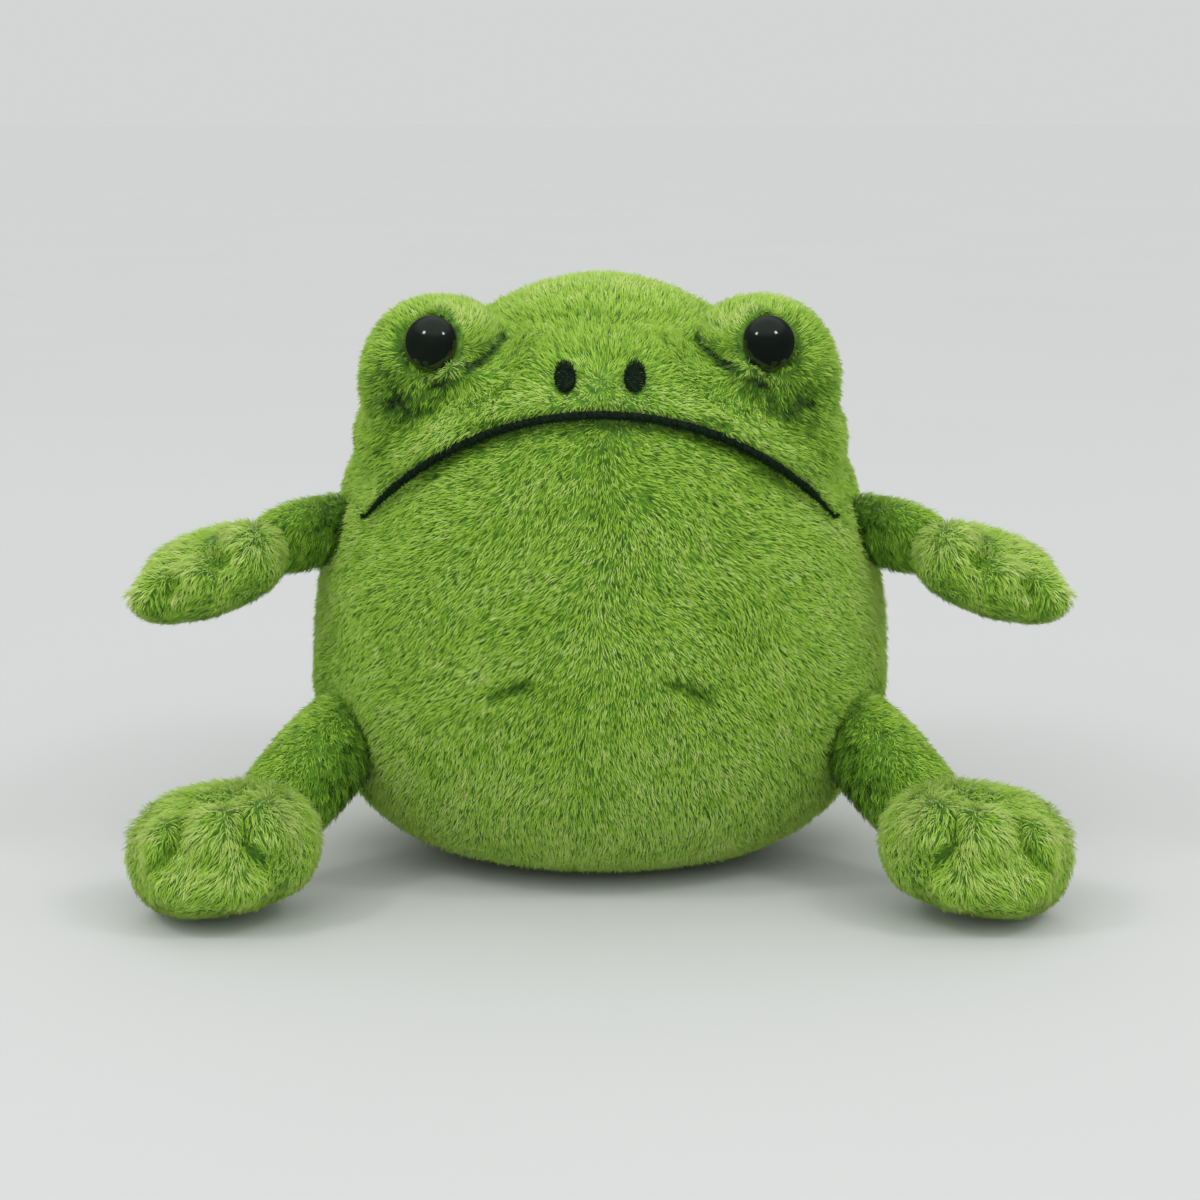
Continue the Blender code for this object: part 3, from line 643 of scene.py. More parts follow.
def with_eye_pads(mesh):
    """Flattens the head's skin under each eye, where the eye's back and its washer pinch it."""
    for side in (1, -1):
        points = places(mesh)
        facing, height, _, radius, across, up = round_eye(points, side)
        inwards = -across / np.maximum(radius, MM)
        reach = EYE_RADIUS + (3.2 + 10 * rising(inwards, -0.3, 0.7)) * MM
        near = falling((radius - EYE_RADIUS) / (reach - EYE_RADIUS), 0.1, 1)
        near *= falling(np.abs(height), 8 * MM, 15 * MM)
        near *= normals(mesh) @ facing > -0.2
        low = rising(-(across + 0.5 * up) / np.maximum(radius, MM), -0.5, 0.4)
        lid = rising(radius, EYE_RADIUS - 0.6 * MM, EYE_RADIUS + 1.2 * MM)
        lid *= falling(radius, EYE_RADIUS + 2.4 * MM, EYE_RADIUS + 8 * MM)
        target = -0.5 * MM + (1.0 + 2.2 * rising(inwards, 0.1, 0.9)) * MM * lid * low
        moved_to(mesh, points - facing * ((height - target) * near)[:, None])
    return mesh


def tucked_rim(mesh):
    """The head's skin with its open edge laid on the lip's arch and turned in under it."""
    bm = bmesh.new()
    bm.from_mesh(mesh)
    old = len(bm.verts), len(bm.faces)
    rim = [edge for edge in bm.edges if edge.is_boundary]
    for vertex in {vertex for edge in rim for vertex in edge.verts}:
        vertex.co.z = float(arch_height(vertex.co.x))
    for inwards, drop in RIM_TUCKS:
        grown = bmesh.ops.extrude_edge_only(bm, edges=rim)["geom"]
        for part in grown:
            if isinstance(part, bmesh.types.BMVert):
                part.co = Vector((part.co.x * inwards, part.co.y * inwards, part.co.z + drop))
        rim = [part for part in grown if isinstance(part, bmesh.types.BMEdge)]
    bmesh.ops.recalc_face_normals(bm, faces=bm.faces)
    return from_bmesh(ordered(bm, *old))


def head_skin_mesh():
    """The head's skin over the mouth line, with the snout and the eye mounds."""
    trunk = egg()
    forms = [trunk, snout(trunk), mound(), mirrored(mound())]
    whole = remeshed([shrunk(mesh, BODY_PILE) for mesh in forms], HEAD_GRID, HEAD_SOFTENING)
    with_eye_pads(sculpted(whole, tree_of(*forms), HEAD_STROKES))
    return tucked_rim(kept(whole, lambda p: p[:, 2] > arch_height(p[:, 0])))


def body_skin_mesh():
    """The body's skin. It tucks in under the head."""
    whole = egg()
    skin = remeshed([shrunk(whole, BODY_PILE)], BODY_GRID, SOFTENING)
    sculpted(skin, tree_of(whole), BODY_STROKES)
    points = places(skin)
    over = points[:, 2] - arch_height(points[:, 0])
    tuck = rising(over, -5 * MM, 4 * MM) * 2.5 * MM
    moved_to(skin, points - normals(skin) * tuck[:, None])
    return kept(skin, lambda p: p[:, 2] < arch_height(p[:, 0]) + 14 * MM)


def limb_skin_meshes(limbs):
    """The left limbs' skins, by name. The photograph's strokes lie on the frog's right paws."""
    skins = {}
    for name, strokes in LIMB_STROKES.items():
        shape = getattr(limbs, name)()
        skin = remeshed([shrunk(shape, LIMB_PILE)], LIMB_GRID, SOFTENING)
        skins[name] = sculpted(skin, tree_of(mirrored(shape)), strokes, (-1,))
    return skins


# Eyes, mouth and nostrils

SHANK_RADIUS = 2.4 * MM
SHANK_LENGTH = 11.5 * MM
RIDGE_HEIGHT = 0.5 * MM
RIDGE_COUNT = 3
NOSTRIL_SPACING = 22 * MM
NOSTRIL_RISE = 8.5 * MM
NOSTRIL_HALF = Vector((3.3, 5.2, 1.5)) * MM
NOSTRIL_LEAN = math.radians(-5)
STITCH_PITCH = 0.62 * MM
STITCH_RADIUS = 0.36 * MM
STITCH_STEPS = 10
CORD_RADIUS = 1.5 * MM
CORD_STEPS = 160
CORD_TWIST = 3.6 * MM
PLY_PLACE_SHARE, PLY_RADIUS_SHARE = 0.42, 0.62
CORD_HINT = (0.1, -1.0, 0.3)
FUZZ_COUNT, FUZZ_LENGTH = 5200, 1.7 * MM
WISP_COUNT = 420


def eye_mesh(side):
    """A safety eye: a smooth dome with a rim, a flat back and a ridged shank."""
    outline = []
    for k in range(25):
        angle = math.pi / 2 * k / 24
        outline.append((EYE_RADIUS * math.sin(angle), EYE_DOME * math.cos(angle)))
    outline += [(EYE_RADIUS, -EYE_RIM * 0.7), (EYE_RADIUS * 0.96, -EYE_RIM), (SHANK_RADIUS, -EYE_RIM)]
    pitch = SHANK_LENGTH / (RIDGE_COUNT + 1)
    for k in range(1, RIDGE_COUNT + 1):
        height = -EYE_RIM - pitch * k
        outline.append((SHANK_RADIUS, height + pitch / 4))
        outline.append((SHANK_RADIUS + RIDGE_HEIGHT, height))
        outline.append((SHANK_RADIUS, height - pitch / 4))
    outline += [(SHANK_RADIUS / 2, -EYE_RIM - SHANK_LENGTH), (0, -EYE_RIM - SHANK_LENGTH)]
    bm = bmesh.new()
    line = [bm.verts.new((radius, 0, height)) for radius, height in outline]
    edges = [bm.edges.new(pair) for pair in zip(line, line[1:])]
    bmesh.ops.spin(bm, geom=line + edges, axis=(0, 0, 1), cent=(0, 0, 0), angle=2 * math.pi, steps=72)
    bmesh.ops.remove_doubles(bm, verts=bm.verts, dist=0.01 * MM)
    bmesh.ops.recalc_face_normals(bm, faces=bm.faces)
    mesh = from_bmesh(ordered(bm))
    seat, facing = eye_seat()
    mesh.transform(Matrix.Translation(seat + facing * (EYE_RIM + SEWN_GAP)) @ facing_matrix(facing))
    mesh.shade_smooth()
    mesh.set_sharp_from_angle(angle=math.radians(50))
    return mesh if side == "left" else mirrored(mesh)


def sweep_axes(path, hint):
    """Two directions across a path at each of its points. The path never runs along the hint."""
    run = unit(np.gradient(path, axis=0))
    level = unit(np.cross(run, np.tile(hint, (len(run), 1))))
    return level, np.cross(run, level)


def swept(path, radii, hint, sides):
    """A tube along a path, with a radius at each point and closed ends."""
    rings = []
    for point, radius, level, upright in zip(path, radii, *sweep_axes(path, hint)):
        turns = turns_round(sides)
        rings.append([point + (level * math.cos(turn) + upright * math.sin(turn)) * radius for turn in turns])
    return lofted(rings)


def seen_from_front(tree, x, z):
    """What a level ray from far in front of the frog meets first."""
    return tree.ray_cast(Vector((x, -1, z)), Vector((0, 1, 0)))


@cache
def mouth_path():
    """The middle of the cord under the lip, from the frog's left to its right, and its radius there."""
    trunk = egg()
    belly = tree_of(trunk)
    lip = tree_of(trunk, snout(trunk))
    clear = CORD_RADIUS + 2 * SEWN_GAP
    path, radii = [], []
    for k in range(CORD_STEPS + 1):
        x = MOUTH_HALF_WIDTH * (1 - 2 * k / CORD_STEPS)
        arch = float(arch_height(x))
        over = seen_from_front(lip, x, arch + clear)[0]
        under, normal, _, _ = seen_from_front(belly, x, arch - clear)
        level = Vector((normal.x, normal.y, 0))
        point = under + level * clear / level.length_squared
        point.y = min(point.y, over.y + clear)
        point.z = float(arch_height(point.x)) - clear
        share = 1 - abs(x / MOUTH_HALF_WIDTH)
        path.append(point)
        radii.append(CORD_RADIUS * (0.08 + 0.92 * min(1, share / 0.16) ** 0.7))
    return np.array(path), np.array(radii)


def mouth_mesh():
    """The cord along the mouth: two dark plies twisted together, thin and pointed at both ends."""
    path, radii = mouth_path()
    level, upright = sweep_axes(path, CORD_HINT)
    steps = np.linalg.norm(np.diff(path, axis=0), axis=1)
    along = np.concatenate([[0], np.cumsum(steps)])
    plies = []
    for start in (0, math.pi):
        turn = (along / CORD_TWIST * 2 * math.pi + start)[:, None]
        offset = (level * np.cos(turn) + upright * np.sin(turn)) * (radii * PLY_PLACE_SHARE)[:, None]
        plies.append(swept(path + offset, radii * PLY_RADIUS_SHARE, CORD_HINT, 8))
    return joined(plies)


@cache
def nostril_frame():
    """The matrix of the left nostril: its own Z faces out of the snout."""
    rise = BODY_HEIGHT - LIP_DROP + NOSTRIL_RISE
    place, normal, _, _ = seen_from_front(tree_of(snout(egg())), NOSTRIL_SPACING / 2, rise)
    return Matrix.Translation(place) @ facing_matrix(normal) @ Matrix.Rotation(NOSTRIL_LEAN, 4, "Z")


def nostril_mesh(side):
    """A nostril: an embroidered oval of stitches laid side by side over a soft mound."""
    half = NOSTRIL_HALF
    rng = np.random.default_rng(5)
    stitches = []
    count = int(2 * half.y / STITCH_PITCH)
    for k in range(count):
        v = (2 * (k + 0.5) / count - 1) * half.y
        reach = half.x * math.sqrt(1 - (v / half.y) ** 2) + rng.uniform(-0.2, 0.35) * MM
        path, radii = [], []
        for j in range(STITCH_STEPS + 1):
            u = (j / (STITCH_STEPS / 2) - 1) * reach
            dome = max(0, 1 - (u / half.x) ** 2 - (v / half.y) ** 2)
            path.append((u, v + 0.25 * MM * math.sin(j + k), half.z * (math.sqrt(dome) * 1.1 - 0.25)))
            radii.append(STITCH_RADIUS * (0.45 + 0.55 * math.sin(math.pi * j / STITCH_STEPS) ** 0.5))
        stitches.append(swept(np.array(path), radii, (0, 0, 1), 6))
    mesh = joined(stitches)
    mesh.transform(nostril_frame())
    mesh.shade_smooth()
    return mesh if side == "left" else mirrored(mesh)


# Fur

def shaded(mesh, marks, mirror=False):
    """Paints shade and highlights into a skin's undercoat along strokes, in an attribute that its material
    reads.
    """
    tree = tree_of(mirrored(mesh) if mirror else mesh)
    shade = np.ones(len(mesh.vertices))
    for pixels, reach, change in marks:
        shade += near_stroke(places(mesh), tree, pixels, reach * MM) * change * 1.3
    layer = mesh.attributes.new(SHADE, "FLOAT", "POINT")
    layer.data.foreach_set("value", np.clip(shade, 0.04, 1.4).astype(np.float32))
    return mesh


def waves(points, size, seed):
    """A smooth, seeded pattern from about -1 to 1, whose features are about a size wide."""
    rng = np.random.default_rng(seed)
    total = np.zeros(len(points))
    for _ in range(7):
        way = unit(rng.normal(size=3)) * rng.uniform(0.7, 1.5) * math.pi / size
        total += np.sin(points @ way + rng.uniform(0, 2 * math.pi))
    return total / 3.2


def scattered(mesh, density, rng, keep):
    """Places spread over a mesh at a density a square metre, and the skin's normal at each."""
    mesh.calc_loop_triangles()
    corners = np.empty(len(mesh.loop_triangles) * 3, np.int32)
    mesh.loop_triangles.foreach_get("vertices", corners)
    corners = corners.reshape(-1, 3)
    points, facing = places(mesh), normals(mesh)
    a, b, c = (points[corners[:, k]] for k in range(3))
    areas = np.linalg.norm(np.cross(b - a, c - a), axis=1) / 2
    areas *= keep((a + b + c) / 3)
    count = int(areas.sum() * density)
    chosen = rng.choice(len(areas), count, p=areas / areas.sum())
    u, v = rng.random(count), rng.random(count)
    over = u + v > 1
    u[over], v[over] = 1 - u[over], 1 - v[over]
    shares = np.stack([1 - u - v, u, v], 1)[:, :, None]
    where = (points[corners[chosen]] * shares).sum(1)
    return where, unit((facing[corners[chosen]] * shares).sum(1))


class Coat:
    """The fur of one skin: where each strand stands, how it lies and how long and light it is."""

    def __init__(self, mesh, density, seed, keep=lambda middles: np.ones(len(middles))):
        self.rng = np.random.default_rng(seed)
        self.seed = seed
        self.tree = tree_of(mesh)
        self.where, self.facing = scattered(mesh, density, self.rng, keep)
        count = len(self.where)
        self.flow = np.tile(DOWN, (count, 1))
        self.length = np.full(count, 6 * MM)
        self.stand = np.full(count, 0.5)
        self.width = self.rng.uniform(0.19, 0.30, count) * MM
        self.tone = np.full(count, 0.5)
        self.pull = np.full(count, 0.38)
        self.tuft = 6

    def drop(self, spare):
        """Leaves out some strands."""
        stays = ~spare
        for name in ("where", "facing", "flow", "length", "stand", "width", "tone", "pull"):
            setattr(self, name, getattr(self, name)[stays])

    def along(self):
        """The flow laid on the skin."""
        return unit(self.flow - (self.flow * self.facing).sum(1)[:, None] * self.facing)

    def ruffle(self, size, amount):
        """Turns the flow a little by a smooth pattern, as handled plush is ruffled."""
        angle = waves(self.where, size, self.seed + 5) * amount
        along = self.along()
        across = np.cross(self.facing, along)
        self.flow = along * np.cos(angle)[:, None] + across * np.sin(angle)[:, None]

    def trim(self, marks):
        """Shortens strands near strokes given as (pixels, reach in mm, share)."""
        for pixels, reach, share in marks:
            self.length *= 1 - share * near_stroke(self.where, self.tree, pixels, reach * MM)

    def shade(self, marks):
        """Paints highlights and shade on strands, lightening or darkening them near strokes given as (pixels,
        reach in mm, change).
        """
        for pixels, reach, change in marks:
            self.tone += near_stroke(self.where, self.tree, pixels, reach * MM) * change

    def build(self, name, chosen):
        """The mesh of the chosen strands: tapered, three-sided and drawn together in tufts."""
        where, facing, along = self.where[chosen], self.facing[chosen], self.along()[chosen]
        count = len(where)
        rng = np.random.default_rng(self.seed + 11)
        rise = self.stand[chosen] * rng.uniform(0.75, 1.25, count)
        level = np.sqrt(np.clip(1 - rise**2, 0.05, 1))
        spread = rng.normal(size=(count, 3)) * 0.2
        way = unit(facing * rise[:, None] + along * level[:, None] + spread)
        length = self.length[chosen] * rng.uniform(0.7, 1.25, count)
        tips = where + way * length[:, None]
        tips, tuft = tufted(tips, self.tuft, self.pull[chosen] * rng.uniform(0.2, 1, count), rng)
        tone = self.tone[chosen] + rng.normal(size=tuft.max() + 1)[tuft] * 0.10
        tone = np.clip(tone + rng.normal(size=count) * 0.08, 0.01, 0.985)
        return strands(name, where, facing, tips, length, self.width[chosen], tone, rng)


def tufted(tips, size, pull, rng):
    """The strands' tips drawn together in tufts of about a number of strands, and each one's tuft."""
    count = max(len(tips) // size, 1)
    heads = tips[rng.choice(len(tips), count, replace=False)]
    search = KDTree(count)
    for k, place in enumerate(heads):
        search.insert(place, k)
    search.balance()
    tuft = np.array([search.find(place)[1] for place in tips])
    return tips + (heads[tuft] - tips) * pull[:, None], tuft


def strands(name, where, facing, tips, length, width, tone, rng):
    """A mesh of tapered three-sided strands with a fur map: each one's tone across and its height up."""
    count = len(where)
    roots = where - facing * 0.4 * MM
    middles = (roots + tips) / 2 + facing * (0.16 * length)[:, None]
    tips, middles = np.maximum(tips, LOWEST_TIP), np.maximum(middles, LOWEST_MIDDLE)
    run = unit(tips - roots)
    side = unit(np.cross(run, unit(rng.normal(size=(count, 3)))))
    other = np.cross(run, side)
    points, shade = np.empty((count, 7, 3)), np.empty((count, 7, 3))
    for k in range(3):
        angle = 2 * math.pi * k / 3
        out = side * math.cos(angle) + other * math.sin(angle)
        points[:, k] = roots + out * (width * 0.5)[:, None]
        points[:, 3 + k] = middles + out * (width * 0.42)[:, None]
        shade[:, k] = shade[:, 3 + k] = unit(facing * 0.85 + out * 0.45 + run * 0.15)
    points[:, 6], shade[:, 6] = tips, unit(facing + run * 0.3)
    mesh = strand_faces(name, points.reshape(-1, 3), count)
    layer = mesh.uv_layers.new(name=FUR_MAP)
    heights = np.array([0.02, 0.02, 0.55, 0.55] * 3 + [0.55, 0.55, 0.99] * 3)
    across = np.array([0, 1, 1, 0] * 3 + [0, 1, 0.5] * 3) * 0.003
    uv = np.stack([tone[:, None] + across[None], np.tile(heights, (count, 1))], 2)
    layer.uv.foreach_set("vector", uv.astype(np.float32).ravel())
    mesh.normals_split_custom_set_from_vertices(shade.reshape(-1, 3).astype(np.float32))
    return mesh


def strand_faces(name, points, count):
    """The faces of strands of seven points each: three round the root, three round the middle and a tip."""
    quads = np.array([(0, 1, 4, 3), (1, 2, 5, 4), (2, 0, 3, 5)])
    tops = np.array([(3, 4, 6), (4, 5, 6), (5, 3, 6)])
    first = np.arange(count)[:, None, None] * 7
    loops = np.concatenate([(quads + first).reshape(count, 12), (tops + first).reshape(count, 9)], 1).ravel()
    sizes = np.tile([4, 4, 4, 3, 3, 3], count).astype(np.int32)
    starts = np.concatenate([[0], np.cumsum(sizes)[:-1]]).astype(np.int32)
    mesh = bpy.data.meshes.new(name)
    mesh.vertices.add(len(points))
    mesh.vertices.foreach_set("co", points.astype(np.float32).ravel())
    mesh.loops.add(len(loops))
    mesh.loops.foreach_set("vertex_index", loops.astype(np.int32))
    mesh.polygons.add(len(sizes))
    mesh.polygons.foreach_set("loop_start", starts)
    mesh.polygons.foreach_set("loop_total", sizes)
    mesh.update(calc_edges=True)
    mesh.shade_smooth()
    return mesh


def mirrored_strands(mesh):
    """The mirror image of a strand mesh, with its own normals turned too."""
    corners = np.empty(len(mesh.loops), np.int32)
    mesh.loops.foreach_get("vertex_index", corners)
    by_point = np.zeros((len(mesh.vertices), 3), np.float32)
    by_point[corners] = vectors(mesh.corner_normals, "vector") * (-1, 1, 1)
    image = mirrored(mesh)
    image.normals_split_custom_set_from_vertices(by_point)
    return image


def wisps_mesh(side):
    """Dark wisps round a nostril's edge, longest above it, where thread and fur mix."""
    rng = np.random.default_rng(17)
    count = WISP_COUNT
    turns = rng.uniform(0, 2 * math.pi, count)
    share = rng.uniform(0.80, 1.02, count)
    flat = np.stack([np.cos(turns) * NOSTRIL_HALF.x, np.sin(turns) * NOSTRIL_HALF.y, np.zeros(count)], 1)
    upper = rising(np.sin(turns), 0.2, 1)
    out = np.stack([np.cos(turns) * 0.6, np.sin(turns) + 0.6 * upper, np.full(count, 0.9)], 1)
    length = (0.9 + 1.5 * upper) * MM * rng.uniform(0.6, 1.2, count)
    spin = np.array(nostril_frame().to_3x3())
    where = (flat * share[:, None]) @ spin.T + np.array(nostril_frame().translation)
    way = unit(unit(out) @ spin.T + rng.normal(size=(count, 3)) * 0.15)
    facing = np.tile(spin[:, 2], (count, 1))
    width = rng.uniform(0.18, 0.28, count) * MM
    tips = where + way * length[:, None]
    mesh = strands("wisps", where, facing, tips, length, width, rng.uniform(0.1, 0.7, count), rng)
    return mesh if side == "left" else mirrored_strands(mesh)


# How the fur lies, and its painted light and shade. A mark is a line of the photograph's pixels, its reach in
# mm and a change.

# Painted light and shade on the head: darker in the creases and hollows round the snout and the eyes, along the
# forehead's seam and down its middle; lighter on the lip's roll, the snout, the forehead and the mound tops.
HEAD_PAINTED_SHADING = (
    (((500, 340), (493, 347), (467, 368), (448, 379), (432, 386)), 7, -0.12),
    (((503, 336), (493, 347), (467, 368), (448, 379), (434, 385)), 2.4, -0.52),
    (((476, 362), (460, 372), (440, 383)), 3.6, -0.26),
    (((372, 494), (400, 462), (450, 428), (520, 402), (600, 393)), 8, 0.16),
    (((384, 392), (402, 425), (388, 455)), 18, -0.20),
    (((400, 376), (440, 396)), 8, -0.14),
    (((440, 410), (560, 395), (600, 394)), 12, 0.06),
    (((520, 300), (600, 286)), 14, 0.05),
    (((406, 324), (402, 345), (408, 366)), 3, -0.20),
    (((390, 402), (404, 402)), 3.5, -0.35),
    (((409, 411), (432, 410)), 3.5, -0.35),
    (((520, 320), (560, 318), (600, 317)), 2.6, -0.10),
    (((600, 275), (600, 312)), 3.5, -0.08),
    (((474, 424), (497, 421)), 3, -0.35),
    (((392, 388), (420, 402), (450, 396)), 4, -0.16),
    (((500, 372), (450, 405), (402, 452)), 9, 0.10),
    (((396, 310), (435, 294), (476, 304)), 14, 0.50),
    (((376, 320), (368, 350)), 10, 0.24),
    (((466, 318), (490, 326)), 11, 0.28),
)
HEAD_TRIMS = (
    (((505, 333), (493, 347), (467, 368), (448, 379), (432, 386)), 3.4, 0.6),
    (((390, 402), (404, 402)), 3, 0.4),
    (((409, 411), (432, 410)), 3, 0.4),
    (((474, 424), (497, 421)), 3, 0.4),
)
# Painted light and shade on the body: darker in the belly's creases, down its middle, under the lip, beside the
# legs and under the arms; lighter low on the belly.
BODY_PAINTED_SHADING = (
    (((495, 696), (512, 688), (530, 681)), 3.6, -0.42),
    (((530, 681), (562, 690), (590, 706)), 3, -0.10),
    (((455, 640), (480, 620), (520, 600)), 5, -0.06),
    (((600, 440), (600, 560)), 7, -0.05),
    (((470, 790), (600, 810)), 34, 0.08),
    (((372, 508), (440, 468), (520, 430), (600, 418)), 6, -0.30),
    (((330, 700), (342, 730), (356, 762), (368, 790)), 8, -0.30),
    (((326, 500), (328, 560)), 8, -0.30),
)


def thinned(points):
    """How much of the full density grows at each point: less behind, hardly any on the seat."""
    behind = rising(points[:, 1], -25 * MM, 15 * MM)
    under = falling(points[:, 2], 1.5 * MM, 7 * MM)
    return (1 - 0.42 * behind) * (1 - 0.8 * under)


def head_coat(mesh):
    """The head's fur: brushed outwards from the nose, with painted highlights on the forehead and the mounds.
    """
    coat = Coat(mesh, FUR_DENSITY, 21, lambda p: thinned(p) * (p[:, 2] > arch_height(p[:, 0]) - 1.6 * MM))
    x, y, z = coat.where.T
    nose, skull = np.array((0, -72, 172)) * MM, np.array((0, -40, 150)) * MM
    crown = rising(z, 180 * MM, 194 * MM)[:, None]
    outwards = unit(coat.where - nose) + 0.35 * DOWN
    coat.flow = unit(outwards) * (1 - crown) + unit(coat.where - skull) * crown
    coat.length = (3.1 + 1.3 * rising(y, -10 * MM, 30 * MM)) * MM + 0.3 * MM * waves(coat.where, 25 * MM, 3)
    coat.stand[:] = 0.60
    coat.tone = 0.57 + 0.05 * waves(coat.where, 16 * MM, 4)
    # Painted highlight: the fur lighter towards the top of the head, which faces up to the light.
    coat.tone += 0.16 * rising(z, 185 * MM, 196 * MM)
    spare = np.zeros(len(z), bool)
    for side in (1, -1):
        _, height, outwards, radius, across, up = round_eye(coat.where, side)
        near = falling(radius, 20 * MM, 32 * MM) * (np.abs(height) < 30 * MM)
        coat.flow = unit(coat.flow) * (1 - near)[:, None] + unit(outwards) * near[:, None]
        level = falling(np.abs(height), 4.5 * MM, 7 * MM)
        rim = falling(radius, EYE_RADIUS + 1 * MM, EYE_RADIUS + 4.5 * MM) * level
        ring = falling(radius, EYE_RADIUS + 0.4 * MM, EYE_RADIUS + 2.4 * MM) * level
        lid = falling(np.abs(radius - EYE_RADIUS - 2.6 * MM), 1.2 * MM, 3.2 * MM) * level
        corner = (1.25 * across + 0.65 * up) / np.maximum(radius, MM)
        below = rising(-corner, -0.2, 0.6)
        coat.stand += 0.34 * rim * (1 - 0.4 * below)
        closing = (rim * (1 - 0.8 * below))[:, None]
        coat.flow = unit(coat.flow) * (1 - closing) - unit(outwards) * closing
        # Painted shadow: darker fur close round the upper outer rim of each eye.
        coat.tone -= 0.50 * ring * rising(corner, -0.2, 0.8)
        # Painted highlight: lighter fur on the raised lid below and inside each eye.
        coat.tone += 0.22 * lid * below
        coat.length *= 1 - 0.3 * rim * below
        spare |= (radius < EYE_RADIUS + 0.1 * MM) & (np.abs(height) < 3 * MM)
        nostril = np.array(nostril_frame().translation) * (side, 1, 1)
        apart = (coat.where - nostril) / (1, 1, NOSTRIL_HALF.y / NOSTRIL_HALF.x)
        beside = np.linalg.norm(apart, axis=1)
        spare |= beside < 3.6 * MM
        coat.length *= 1 - 0.45 * falling(beside, 3 * MM, 8 * MM)
    coat.length *= 1 - 0.2 * falling(z - arch_height(x), 0, 5 * MM)
    # Painted light and shade on the head's fur along its strokes.
    coat.shade(HEAD_PAINTED_SHADING)
    coat.trim(HEAD_TRIMS)
    coat.drop(spare)
    coat.ruffle(18 * MM, 0.3)
    return coat


def body_coat(mesh):
    """The body's fur: short and brushed down on the belly, longer behind."""
    coat = Coat(mesh, FUR_DENSITY, 41, lambda p: thinned(p) * (p[:, 2] < arch_height(p[:, 0]) + 4 * MM))
    x, y, z = coat.where.T
    middle = np.array((0, -96, 80)) * MM
    coat.flow = DOWN + 0.7 * unit(coat.where - middle)
    front = rising(-y, -20 * MM, 40 * MM)
    coat.length = (4.4 - 1.5 * front) * MM + 0.25 * MM * waves(coat.where, 30 * MM, 5)
    coat.stand[:] = 0.52
    coat.tone = 0.645 + 0.05 * waves(coat.where, 9 * MM, 6) + 0.05 * waves(coat.where, 34 * MM, 16)
    coat.length *= 1 - 0.4 * rising(z - arch_height(x), -7 * MM, -2 * MM) * front
    # Painted light and shade on the body's fur along its strokes.
    coat.shade(BODY_PAINTED_SHADING)
    coat.ruffle(20 * MM, 0.4)
    return coat


def tube_coat(mesh, seed, way, inner, tone):
    """An arm's or a leg's fur, brushed along it, with painted shade near the trunk and a painted highlight on
    top. None grows in the trunk, nearer the middle than inner.
    """
    coat = Coat(mesh, FUR_DENSITY, seed, lambda p: p[:, 0] > inner)
    coat.flow = np.array(way) + 0.6 * DOWN + np.zeros_like(coat.where)
    coat.length = LIMB_FUR * (1 + 0.1 * waves(coat.where, 12 * MM, seed))
    shadow = falling(coat.where[:, 0], inner + 6 * MM, inner + 28 * MM)
    top = rising(coat.facing[:, 2], 0.2, 0.9)
    # Painted shade darkens the fur near the trunk, and a painted highlight lightens the upward-facing fur.
    coat.tone = tone + 0.06 * waves(coat.where, 12 * MM, seed + 1) - 0.30 * shadow + 0.14 * top
    coat.ruffle(14 * MM, 0.35)
    return coat


def paw_coat(mesh, seed, middle, ahead, length, tones, strokes, buds):
    """A hand's or foot's fur: long and fanned out from the top, shorter underneath, with a painted highlight on
    top.
    """
    coat = Coat(mesh, FUR_DENSITY * 1.1, seed)
    out = unit(coat.where - np.array(middle))
    coat.flow = out + 0.45 * np.array(ahead) + 0.55 * DOWN
    top = rising(coat.facing[:, 2], -0.3, 0.5)
    coat.length = (0.62 + 0.38 * top) * length * (1 + 0.10 * waves(coat.where, 12 * MM, seed))
    coat.stand = 0.36 + 0.10 * top
    low_tone, top_highlight = tones
    # Painted highlight: the upward-facing fur lighter.
    coat.tone = low_tone + 0.06 * waves(coat.where, 10 * MM, seed + 1) + top_highlight * top
    coat.pull[:] = 0.42
    coat.width *= 0.86
    coat.tuft = 8
    mirror_tree = tree_of(mirrored(mesh))
    for bud in seen_at(mirror_tree, buds) * (-1, 1, 1):
        away = coat.where - bud
        far = np.linalg.norm(away, axis=1)
        near = (falling(far, 6 * MM, 15 * MM) * rising(far, 0, 8 * MM))[:, None] * 0.6
        coat.flow = unit(coat.flow) * (1 - near) + (unit(away) + 0.5 * DOWN) * near
        # Painted highlight: lighter fur on each toe's bulge.
        coat.tone += 0.08 * falling(far, 4 * MM, 14 * MM)
    for pixels, reach in creases(strokes):
        near = near_stroke(coat.where, mirror_tree, pixels, reach * MM * 0.75)
        # Painted shade: darker fur in the paw's creases.
        coat.tone -= near * 0.32
        coat.length *= 1 - 0.35 * near
    coat.ruffle(12 * MM, 0.5)
    return coat


def fuzz_and_shade_mesh():
    """Short dark fuzz on the mouth's cord, hanging mostly down and forward: the cord's own fuzz, and a dark
    fringe that stands in for the shade under the lip.
    """
    path, radii = mouth_path()
    rng = np.random.default_rng(31)
    spots = rng.uniform(0, len(path) - 1.001, FUZZ_COUNT)
    low = spots.astype(int)
    share = (spots - low)[:, None]
    where = path[low] * (1 - share) + path[low + 1] * share
    out = unit(rng.normal(size=(FUZZ_COUNT, 3)) * (0.8, 0.5, 1) + (0, -0.4, -0.7))
    tips = where + out * (radii[low] * 0.7 + FUZZ_LENGTH * rng.uniform(0.4, 1, FUZZ_COUNT))[:, None]
    width = rng.uniform(0.16, 0.26, FUZZ_COUNT) * MM
    lengths = np.full(FUZZ_COUNT, FUZZ_LENGTH)
    return strands("fuzz", where, out, tips, lengths, width, rng.uniform(0.2, 0.8, FUZZ_COUNT), rng)


